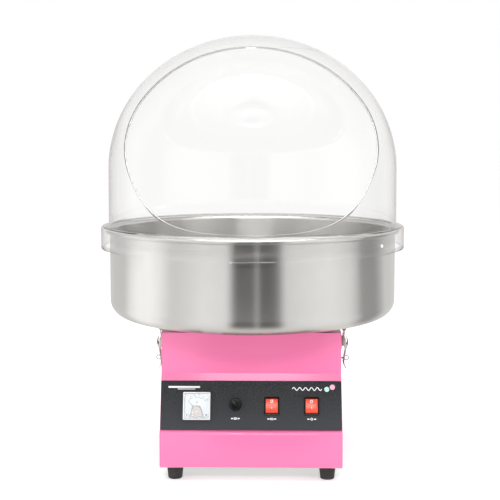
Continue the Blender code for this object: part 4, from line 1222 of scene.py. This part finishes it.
class MACHINE_OT_switches(bpy.types.Operator):
    """Two rocker switches: a lipped bezel and body with blade terminals, a dished rocker and its signs"""

    bl_idname = "machine.switches"
    bl_label = "Switches"

    def execute(self, context):
        for name, place in SWITCHES_AT.items():
            self.body(name, place)
            self.rocker(name, place)
        return {"FINISHED"}

    def body(self, name, place):
        """Barrel, lipped bezel and pocket in one run of outlines, ending on the pocket's floor."""
        low, top = PANEL_BASE, PANEL_BASE + 1.8 * MM
        rows = [
            (11.3, 13.6, -22 * MM), (11.3, 13.6, low), (12.75, 15, low), (12.75, 15, top - 0.9 * MM),
            (12.6, 14.85, top - 0.35 * MM), (12.2, 14.45, top), (11.3, 13.55, top),
            (10.95, 13.2, top - 0.25 * MM), (10.75, 13, top - 0.9 * MM), (10.75, 13, -17 * MM),
        ]
        shape = frame_of_rings([(a * MM, b * MM) for a, b, _ in rows], [z for *_, z in rows], 1.4 * MM, place)
        node = f"{name}_switch_body"
        piece(f"{name}_switch_frame", on_panel(shape), "gloss_black_plastic", replaces=[node])
        blades = []
        for column in (-5 * MM, 5 * MM):
            for row in (-7 * MM, 7 * MM):
                blade = rectangle(0.4 * MM, 3.1 * MM, 0.3 * MM, (place[0] + column, place[1] + row), 3)
                blades.append(slab(blade, -31 * MM, -22.1 * MM, 0.2 * MM))
        piece(f"{name}_switch_blades", on_panel(together(*blades)), "plated_steel")

    def rocker(self, name, place):
        """Outline in (up the slope, out): two dished halves that meet in a valley, and round ends."""
        ends = arc((0, 0), ROCKER_RADIUS, -24, 27, 14)
        along = np.linspace(ROCKER_END[0] - 0.2 * MM, 0, 14)
        right = np.vstack([ends, np.stack([along, self.face(along)], 1)])
        outline = np.vstack([right, (right * (-1, 1))[::-1][1:]])
        cos, sin = math.cos(ROCKER_REST), math.sin(ROCKER_REST)
        tilt = np.array(((cos, sin), (-sin, cos)))
        solid = slab(outline @ tilt, -ROCKER_HALF_WIDTH, ROCKER_HALF_WIDTH, 0.5 * MM, 4)
        solid = moved(solid, (place[0], place[1], ROCKER_PIVOT), ((0, 1, 0), (0, 0, 1), (1, 0, 0)))
        body, node = f"{name}_rocker", f"{name}_switch_rocker"
        piece(f"{name}_rocker_cap", on_panel(solid), "red_rocker", body=body, replaces=[node], sharp=50)
        zero = ring_print((0, 7.0 * MM), 2.0 * MM, 0.95 * MM)
        one = bar((0, -3.4 * MM), 1.1 * MM, 3.6 * MM)
        signs = []
        for outline in (*zero, one):
            points, faces = slab(outline, 0.02 * MM, 0.12 * MM, 0.02 * MM, 2)
            points[:, 2] += self.face(points[:, 1])
            points[:, 1:] = points[:, 1:] @ tilt
            signs.append(moved((points, faces), (place[0], place[1], ROCKER_PIVOT)))
        piece(f"{name}_rocker_signs", on_panel(together(*signs)), "red_rocker", body=body, finish="marks_ink")

    def face(self, along):
        """Height of the dished face: a straight climb from the valley to the end, less a sine's half wave."""
        t = np.clip(np.abs(along) / ROCKER_END[0], 0, 1)
        return ROCKER_VALLEY + (ROCKER_END[1] - ROCKER_VALLEY) * t - ROCKER_DISH * np.sin(math.pi * t)


# ------------------------------------------------------------------ spinner head


class MACHINE_OT_head(bpy.types.Operator):
    """Spinner head: turned base, slotted band, sugar funnel, nut and the heater ring inside"""

    bl_idname = "machine.head"
    bl_label = "Spinner head"

    def execute(self, context):
        bore, radius = 5.3 * MM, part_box("head_base")[1].x
        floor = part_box("head_base")[1].z - 8 * MM
        base = rounded([
            (bore, floor - 12 * MM), (11 * MM, floor - 12 * MM), (13 * MM, floor - 2 * MM),
            (radius - 4 * MM, floor), (radius, floor + 3 * MM), (radius, floor + 8 * MM),
            (radius - 2 * MM, floor + 8 * MM), (radius - 2 * MM, floor + 4.5 * MM), (bore, floor + 4 * MM),
        ], np.array([0.3, 1, 3, 1.5, 1.2, 0.5, 0.5, 1, 0.3]) * MM, 6)
        piece("spinner_base", lathe(base, 144), "cast_aluminium", body="spinner", replaces=["head_base"])
        self.band(context.scene.machine_sizes.head_slots)
        self.cover(radius)
        low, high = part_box("head_nut")[0].z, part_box("head_nut")[1].z
        hexagon = slab(arc((0, 0), 9 * MM, 0, 300, 6), low, high, 0.5 * MM, 3)
        nut = piece("hexagon_nut", hexagon, "plated_steel", body="spinner", replaces=["head_nut"])
        cut_through(nut, slab(arc((0, 0), bore, 0, 350, 36), low - 5 * MM, high + 5 * MM, 0.01 * MM, 2))
        refinish("heater_alloy", "heater_ring")
        refinish("plated_steel", "motor_shaft")
        return {"FINISHED"}

    def cover(self, radius):
        """The funnel's ring, turned from a profile, on three posts that stand on the base."""
        foot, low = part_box("head_cover")[0].z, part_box("head_band")[1].z + GAP
        profile = rounded([
            (17 * MM, low), (radius, low), (radius, low + 2.5 * MM), (30 * MM, low + 5 * MM),
            (22 * MM, low + 10 * MM), (19.5 * MM, low + 10 * MM),
        ], np.array([0.6, 0.6, 0.9, 5, 1, 1]) * MM, 7)
        shapes = [lathe(profile, 144)]
        for i in range(3):
            angle = math.tau * (i / 3 + 1 / 6)
            centre = (52.5 * MM * math.cos(angle), 52.5 * MM * math.sin(angle))
            shapes.append(slab(arc(centre, 1.7 * MM, 0, 340, 18), foot, low + 1 * MM, 0.2 * MM))
        piece("funnel_cover", together(*shapes), "cast_aluminium", body="spinner", replaces=["head_cover"])

    def band(self, slots):
        """A thin cylinder as a grid of (angle, height), with the cells that fall in a slot left out."""
        low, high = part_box("head_band")[0].z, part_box("head_band")[1].z
        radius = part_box("head_band")[1].x
        slot = 3.6 * MM / (math.tau * radius / slots)
        start = np.arange(slots)[:, None]
        parts = np.concatenate([np.linspace(0, slot, 3)[:-1], np.linspace(slot, 1, 8)[:-1]])
        angle = ((start + parts + 0.25 - slot / 2) * math.tau / slots).ravel()
        heights = np.array([low, low + 4 * MM, high - 4 * MM, high])
        points = np.stack(np.broadcast_arrays(
            radius * np.cos(angle)[None], radius * np.sin(angle)[None], heights[:, None]
        ), -1).reshape(-1, 3)
        faces = grid_faces(4, len(angle), False, True)
        cells = np.arange(len(faces))
        inside = (cells // len(angle) == 1) & (cells % len(parts) < 2)
        kept = [face for face, gone in zip(faces, inside) if not gone]
        band = piece("slotted_band", (points, kept), "brushed_steel", body="spinner", replaces=["head_band"])
        outwards = band.data.polygons[0].normal @ band.data.polygons[0].center > 0
        wall = band.modifiers.new("wall", "SOLIDIFY")
        wall.thickness, wall.offset = 1.5 * MM, -1 if outwards else 1


class MACHINE_OT_drive(bpy.types.Operator):
    """Motor, bracket, fan, slip rings, brush holder and terminal block inside the casing"""

    bl_idname = "machine.drive"
    bl_label = "Drive"

    def execute(self, context):
        refinish("motor_steel", "motor_body")
        refinish("zinc_sheet", "motor_bracket")
        refinish("black_plastic", "motor_fan")
        refinish("brass", "slip_rings")
        refinish("phenolic", "brush_holder")
        refinish("ivory_plastic", "terminal_block")
        return {"FINISHED"}


# ------------------------------------------------------------------ latches


class MACHINE_OT_latches(bpy.types.Operator):
    """Draw latch on each side: plate with ears, over-centre lever, wire bail, padlock eye and hook"""

    bl_idname = "machine.latches"
    bl_label = "Latches"

    def execute(self, context):
        for name, side in (("left", -1), ("right", 1)):
            self.plate(name, side)
            self.lever(name, side)
            self.bail(name, side)
            self.eye(name, side)
            self.hook(name, side)
            refinish("plated_steel", f"latch_{name}_pin")
        return {"FINISHED"}

    def plate(self, name, side):
        wall = HALF_WIDTH + GAP
        flat = slab(rectangle(12 * MM, 25.5 * MM, 2.5 * MM, (0, 193.5 * MM)), 0, STRIP)
        flat = moved(flat, (side * wall, 0, 0), ((0, 1, 0), (0, 0, 1), (side, 0, 0)))
        piece(f"latch_base_{name}", flat, "plated_steel", replaces=[f"latch_{name}_plate"])
        ear = np.vstack([
            line((wall + 0.5 * MM, 172 * MM), (157.5 * MM, 172 * MM)),
            line((162.5 * MM, 184 * MM), (165.5 * MM, 195 * MM)),
            arc(LATCH_PIVOT, 3.6 * MM, -40, 90, 12),
            line((160 * MM, 217 * MM), (wall + 0.5 * MM, 218 * MM)),
        ])
        ears = [slab(ear, low, low + 1.5 * MM, 0.25 * MM) for low in (-8 * MM, 6.5 * MM)]
        made = piece(f"latch_ears_{name}", beside_machine(together(*ears), side), "plated_steel")
        cut_through(made, beside_machine(self.drill(LATCH_PIVOT, 2.1 * MM), side))

    def drill(self, centre, radius):
        return slab(arc(centre, radius, 0, 345, 24), -20 * MM, 20 * MM, 0.01 * MM, 2)

    def lever(self, name, side):
        """A strip bent along a smooth curve through its bends. Its cheeks carry the pin and the bail."""
        bends = np.array([
            (174.3, 213), (175.6, 209.5), (176.2, 205), (175.4, 200.5), (173.6, 196.5), (172.2, 191),
            (168.4, 170), (168.1, 167), (169.6, 161.8), (173.4, 155.5),
        ]) * MM
        body = f"latch_{name}_lever"
        bent = slab(strip(smooth_path(bends, 60), STRIP), -9.8 * MM, 9.8 * MM, 0.35 * MM)
        bent = beside_machine(bent, side)
        made = piece(f"latch_handle_{name}", bent, "plated_steel", body=body, replaces=[body])
        slot = rectangle(2 * MM, 7 * MM, 1 * MM, (0, 175.5 * MM))
        low, high = sorted((side * 160 * MM, side * 180 * MM))
        cut_through(made, across_machine(slab(slot, low, high, 0.01 * MM, 2)))
        cheek = np.vstack([
            line((171.6, 189), (173.4, 196.3), (174.6, 199.6), (172.8, 203)) * MM,
            arc(LATCH_PIVOT, 3.7 * MM, -10, 180, 16),
            arc(BAIL_FOOT, 2.7 * MM, 180, 290, 10),
        ])
        cheeks = [slab(cheek, low, low + STRIP, 0.2 * MM) for low in (-9.75 * MM, 8.35 * MM)]
        cheeks = beside_machine(together(*cheeks), side)
        made = piece(f"latch_cheeks_{name}", cheeks, "plated_steel", body=body)
        for centre, radius in ((LATCH_PIVOT, 2.1 * MM), (BAIL_FOOT, 1.5 * MM)):
            cut_through(made, beside_machine(self.drill(centre, radius), side))

    def bail(self, name, side):
        """Round wire carried along a loop: in through the cheeks, up both legs and across the hook."""
        half, bend, end, wire = 11.8 * MM, 2.4 * MM, 8.2 * MM, 1.1 * MM
        rise = np.array((BAIL_TOP[0] - BAIL_FOOT[0], BAIL_TOP[1] - BAIL_FOOT[1]))
        length = np.linalg.norm(rise)
        up = np.array((side * rise[0], 0, rise[1])) / length
        corners = [(end, 0), (half, 0), (half, length), (-half, length), (-half, 0), (-end, 0)]
        flat = rounded(corners, [0, bend, bend, bend, bend, 0], 9, closed=False)
        start = np.array((side * BAIL_FOOT[0], 0, BAIL_FOOT[1]))
        path = start + flat[:, :1] * (0, 1, 0) + flat[:, 1:] * up
        across = np.cross((0, 1, 0), up)
        shape = swept(arc((0, 0), wire, 0, 337.5, 16), path, across)
        body = f"latch_{name}_bail"
        piece(f"latch_wire_{name}", shape, "plated_steel", body=body, replaces=[body], sharp=60)

    def eye(self, name, side):
        """A ring of half-round wire on a flat neck that passes through the lever's slot."""
        root = HALF_WIDTH + STRIP + 2 * GAP
        turn = np.linspace(0, math.tau, 48, endpoint=False)
        section = arc((0, 0), 0.95 * MM, 0, 330, 12)
        radius = 3.95 * MM + section[None, :, 0]
        points = np.stack(np.broadcast_arrays(
            EYE_CENTRE[0] + radius * np.cos(turn)[:, None], EYE_CENTRE[1] + radius * np.sin(turn)[:, None],
            section[None, :, 1],
        ), -1).reshape(-1, 3)
        ring = points, grid_faces(48, 12, True, True)
        neck = slab(rounded([
            (root, EYE_CENTRE[1] - 2 * MM), (EYE_CENTRE[0] - 3.6 * MM, EYE_CENTRE[1] - 1.2 * MM),
            (EYE_CENTRE[0] - 3.6 * MM, EYE_CENTRE[1] + 1.2 * MM), (root, EYE_CENTRE[1] + 2 * MM),
        ], 0), -0.9 * MM, 0.9 * MM, 0.25 * MM)
        shape = beside_machine(together(ring, neck), side)
        piece(f"padlock_ring_{name}", shape, "plated_steel", replaces=[f"latch_{name}_eye"])

    def hook(self, name, side):
        path = rounded(
            np.array([(181, 260.9), (166, 260.9), (166, 227.1), (172.6, 227.1), (172.6, 231.5)]) * MM,
            np.array([0, 2, 1.6, 1.6, 0]) * MM, 6, closed=False,
        )
        shape = beside_machine(slab(strip(path, STRIP), -6 * MM, 6 * MM, 0.35 * MM), side)
        piece(f"bowl_hook_{name}", shape, "plated_steel", replaces=[f"latch_{name}_catch"])


def smooth_path(points, count):
    """A curve through every point, in cubic spans from a to b with end slopes p and q.

    At s from 0 to 1: (1 - h) a + h b + s (1 - s) ((1 - s) p - s q), with h = s s (3 - 2 s). A point's
    slope is half the step between its neighbours.
    """
    slope = np.gradient(points, axis=0)
    t = np.linspace(0, len(points) - 1, count)
    i = np.minimum(t.astype(int), len(points) - 2)
    s = (t - i)[:, None]
    a, b, p, q = points[i], points[i + 1], slope[i], slope[i + 1]
    h = s * s * (3 - 2 * s)
    return (1 - h) * a + h * b + s * (1 - s) * ((1 - s) * p - s * q)


# ------------------------------------------------------------------ rear fittings


class MACHINE_OT_rear_fittings(bpy.types.Operator):
    """Power inlet with its three pins, and the rear cover's cross-head screws"""

    bl_idname = "machine.rear_fittings"
    bl_label = "Rear fittings"

    def execute(self, context):
        self.inlet()
        for number in range(1, 5):
            self.screw(number)
        return {"FINISHED"}

    def inlet(self):
        """Drawn as (x, z) with depth along y: a socket with two cut corners in a flange with round ends."""
        low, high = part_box("power_inlet")
        x, z = (low.x + high.x) / 2, (low.z + high.z) / 2
        depth = high.y - low.y
        corners = [(12.2, 8.4), (-12.2, 8.4), (-12.2, -3.4), (-7.2, -8.4), (7.2, -8.4), (12.2, -3.4)]
        lip = rounded(corners, 0.8, 6) * MM
        flange = slab(rectangle(24 * MM, 12 * MM, 5 * MM, steps=8), -2.7 * MM, 0, 0.6 * MM)
        body = slab(rectangle(13.6 * MM, 9.9 * MM, 1 * MM), -depth, -2.6 * MM, 0.4 * MM)
        turn = ((1, 0, 0), (0, 0, 1), (0, 1, 0))
        place = (x, high.y, z)
        made = piece("inlet_shell", moved(flange, place, turn), "black_plastic", replaces=["power_inlet"])
        back = piece("inlet_body", moved(body, place, turn), "black_plastic")
        cutter = moved(slab(lip, -18 * MM, 5 * MM, 0.01 * MM, 2), place, turn)
        cut_through(made, cutter)
        cut_through(back, cutter)
        pins = []
        for centre in ((-7 * MM, -2 * MM), (0, 2.5 * MM), (7 * MM, -2 * MM)):
            pin = rectangle(1 * MM, 2 * MM, 0.3 * MM, centre, 4)
            pins.append(slab(pin, -18.2 * MM, -5 * MM, 0.5 * MM, 4))
        piece("inlet_pins", moved(together(*pins), place, turn), "plated_steel", finish="brass")

    def screw(self, number):
        """Pan head with a cross recess, on a plain shank."""
        low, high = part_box(f"rear_screw_{number}")
        middle = ((low.x + high.x) / 2, CASING_BACK, (low.z + high.z) / 2)
        profile = np.vstack([
            line((0, -7 * MM), (1.7 * MM, -7 * MM), (1.7 * MM, GAP)),
            rounded([(3.6 * MM, GAP), (3.6 * MM, 2.5 * MM), (0, 2.5 * MM)], [0.2 * MM, 1.6 * MM, 0], 7),
        ])
        turn = ((1, 0, 0), (0, 0, -1), (0, 1, 0))
        shape = moved(lathe(profile, 48), middle, turn)
        made = piece(f"cross_head_{number}", shape, "plated_steel", replaces=[f"rear_screw_{number}"])
        for a, b in ((1.9, 0.4), (0.4, 1.9)):
            arm = slab(rectangle(a * MM, b * MM, 0.15 * MM), 1.2 * MM, 5 * MM, 0.02 * MM, 2)
            cut_through(made, moved(arm, middle, turn))


# ------------------------------------------------------------------ stage


def add_light(name, place, aim, size, power, mirrored):
    """A soft rectangular lamp that faces a point. Glossy surfaces show it only if it is mirrored."""
    data = bpy.data.lights.new(name, "AREA")
    data.shape, data.size, data.size_y = "RECTANGLE", *size
    data.energy = power
    lamp = bpy.data.objects.new(name, data)
    lamp.visible_camera, lamp.visible_glossy = False, mirrored
    bpy.context.scene.collection.objects.link(lamp)
    face_point(lamp, place, aim)


def face_point(item, place, aim):
    """Turns an object so that its -Z axis points from its place to the aim, with its Y axis upwards."""
    item.location = place
    item.rotation_euler = (Vector(aim) - Vector(place)).to_track_quat("-Z", "Y").to_euler()


class MACHINE_OT_stage(bpy.types.Operator):
    """Pale floor, soft studio light and the camera"""

    bl_idname = "machine.stage"
    bl_label = "Stage"

    def execute(self, context):
        scene = context.scene
        self.floor()
        self.surround()
        self.sky(scene)
        scene.view_settings.view_transform = "Standard"
        add_light("left_bank", (-2.2, -1.3, 1.3), (0, 0, 0.35), (1.7, 2.4), 8, False)
        add_light("right_bank", (2.0, -1.6, 1.4), (0, 0, 0.35), (1.7, 2.4), 8, False)
        add_light("overhead", (0, -0.5, 2.4), (0, 0, 0.3), (2.2, 1.8), 40, False)
        add_light("front_strip", (0, -2.3, 1.7), (0, 0, 0.2), (1.4, 0.36), 17, True)
        self.camera(scene)
        return {"FINISHED"}

    def floor(self):
        """A wide disc as rings of points, white enough to fade into the backdrop."""
        radius = np.array([0.0, 1, 2, 4, 8, 16, 60])
        glow = {"Emission_Color": (1, 1, 1, 1), "Emission_Strength": 0.33}
        surface = Finish("floor_white", (0.9, 0.9, 0.9), 0.95, **glow)
        surface.tinted(surface.noise(3.0, 2.0), 0.01)
        floor = self.disc("floor", np.stack([radius, 0 * radius], 1), surface.material)
        floor.visible_glossy = floor.visible_transmission = False

    def surround(self):
        """Panels and dark flags round the machine, as one drum that only its reflections see.

        Its brightness depends on the bearing from the front, in degrees with the right hand positive. The
        bands fade to white on the near floor and high above.
        """
        drum = Finish("surround_panels", (0, 0, 0), 1.0, Emission_Strength=1.0)
        x, y, z = drum.axes(drum.place())
        bearing = x.math("ARCTAN2", x, -1 * y) / math.tau + 0.5
        radius = (x * x + y * y) ** 0.5
        warm = (0.66, 0.63, 0.61)
        bands = (
            (-180, warm), (-122, 0.80), (-113, 0.85), (-104, 1.2), (-94, 1.45), (-80, 1.5), (-70, 1.3),
            (-60, 0.97), (-50, 1.0), (-34, 1.2), (-17, 1.12), (-11, 0.09), (2, 0.08), (3.2, 0.48),
            (4.8, 0.48), (6, 0.05), (13, 0.10), (18, 0.22), (24, 1.0), (40, 1.15), (60, 1.22), (76, 1.05),
            (83, 0.85), (89, 0.45), (106, 0.42), (113, 0.55), (124, 0.85), (180, warm),
        )
        banded = drum.ramp(bearing, [(side / 360 + 0.5, tint) for side, tint in bands])
        near = (3.6 - radius * 8.0).clamped(0, 1)
        high = (z * 2.2 - 1.9).clamped(0, 1)
        seen = drum.blend(near, drum.blend(high, banded, (0.97, 0.97, 0.97, 1)), (1.0, 0.98, 0.92, 1))
        path = drum.add("ShaderNodeLightPath", output="Glossy Depth")
        drum.set("Emission Color", drum.blend(path.clamped(0, 1), (1, 1, 1, 1), seen))
        profile = np.array([(0.0, -0.001), (0.3, -0.001), (1, -0.001), (2.8, -0.001), (2.8, 1.2), (2.8, 2.8)])
        made = self.disc("surround", profile, drum.material)
        for rays in ("camera", "diffuse", "shadow", "volume_scatter"):
            setattr(made, f"visible_{rays}", False)

    def disc(self, name, profile, material):
        """A profile of (radius, height) carried round the vertical axis as a grid of (row, angle)."""
        angle = np.linspace(0, math.tau, 180, endpoint=False)
        radius, height = profile[:, 0, None], profile[:, 1, None]
        points = np.stack(np.broadcast_arrays(radius * np.cos(angle), radius * np.sin(angle), height), -1)
        mesh = mesh_of(name, (points.reshape(-1, 3), grid_faces(len(profile), 180, False, True)))
        mesh.materials.append(material)
        made = bpy.data.objects.new(name, mesh)
        bpy.context.scene.collection.objects.link(made)
        return made

    def sky(self, scene):
        """A plain white surround, a little dimmer as a source of light than it looks."""
        scene.world = bpy.data.worlds.new("surround")
        scene.world.use_nodes = True
        sky = Tree(scene.world.node_tree, "Background")
        diffuse = sky.add("ShaderNodeLightPath", output="Is Diffuse Ray")
        sky.set("Color", (1, 1, 1, 1))
        sky.set("Strength", 1.0 - diffuse * 0.28)

    def camera(self, scene):
        """Stands 1.8 m from the axis, a little right of the middle, and looks down by three degrees."""
        distance, height, turn, down = 1.8, 571.6 * MM, math.radians(0.85), math.radians(3)
        data = bpy.data.cameras.new("camera")
        data.sensor_width = 36
        data.lens = 70.5
        data.shift_x, data.shift_y = -0.005, -0.111
        camera = bpy.data.objects.new("camera", data)
        camera.location = (distance * math.sin(turn), -distance * math.cos(turn), height)
        camera.rotation_euler = (math.pi / 2 - down, 0, turn)
        scene.collection.objects.link(camera)
        scene.camera = camera


# ------------------------------------------------------------------ add-on


PIECES = (
    MACHINE_OT_bowl, MACHINE_OT_dome, MACHINE_OT_deck, MACHINE_OT_casing, MACHINE_OT_feet,
    MACHINE_OT_control_panel, MACHINE_OT_meter, MACHINE_OT_fuse, MACHINE_OT_switches, MACHINE_OT_head,
    MACHINE_OT_drive, MACHINE_OT_latches, MACHINE_OT_rear_fittings, MACHINE_OT_stage,
)


class MACHINE_PT_sidebar(bpy.types.Panel):
    """Sizes, colours and one button for each piece"""

    bl_label = "Cotton Candy Machine"
    bl_idname = "MACHINE_PT_sidebar"
    bl_space_type = "VIEW_3D"
    bl_region_type = "UI"
    bl_category = "Candy Machine"

    def draw(self, context):
        column = self.layout.column(align=True)
        for group in (context.scene.machine_sizes, context.scene.machine_colours):
            for key in group.__annotations__:
                column.prop(group, key)
            column.separator()
        for operator in PIECES:
            column.operator(operator.bl_idname)


CLASSES = (MachineSizes, MachineColours, *PIECES, MACHINE_PT_sidebar)


def register():
    for item in CLASSES:
        bpy.utils.register_class(item)
    bpy.types.Scene.machine_sizes = bpy.props.PointerProperty(type=MachineSizes)
    bpy.types.Scene.machine_colours = bpy.props.PointerProperty(type=MachineColours)


def unregister():
    del bpy.types.Scene.machine_colours
    del bpy.types.Scene.machine_sizes
    for item in reversed(CLASSES):
        bpy.utils.unregister_class(item)


def main():
    register()
    for operator in PIECES:
        getattr(bpy.ops.machine, operator.bl_idname.split(".")[1])()


if __name__ == "__main__":
    main()
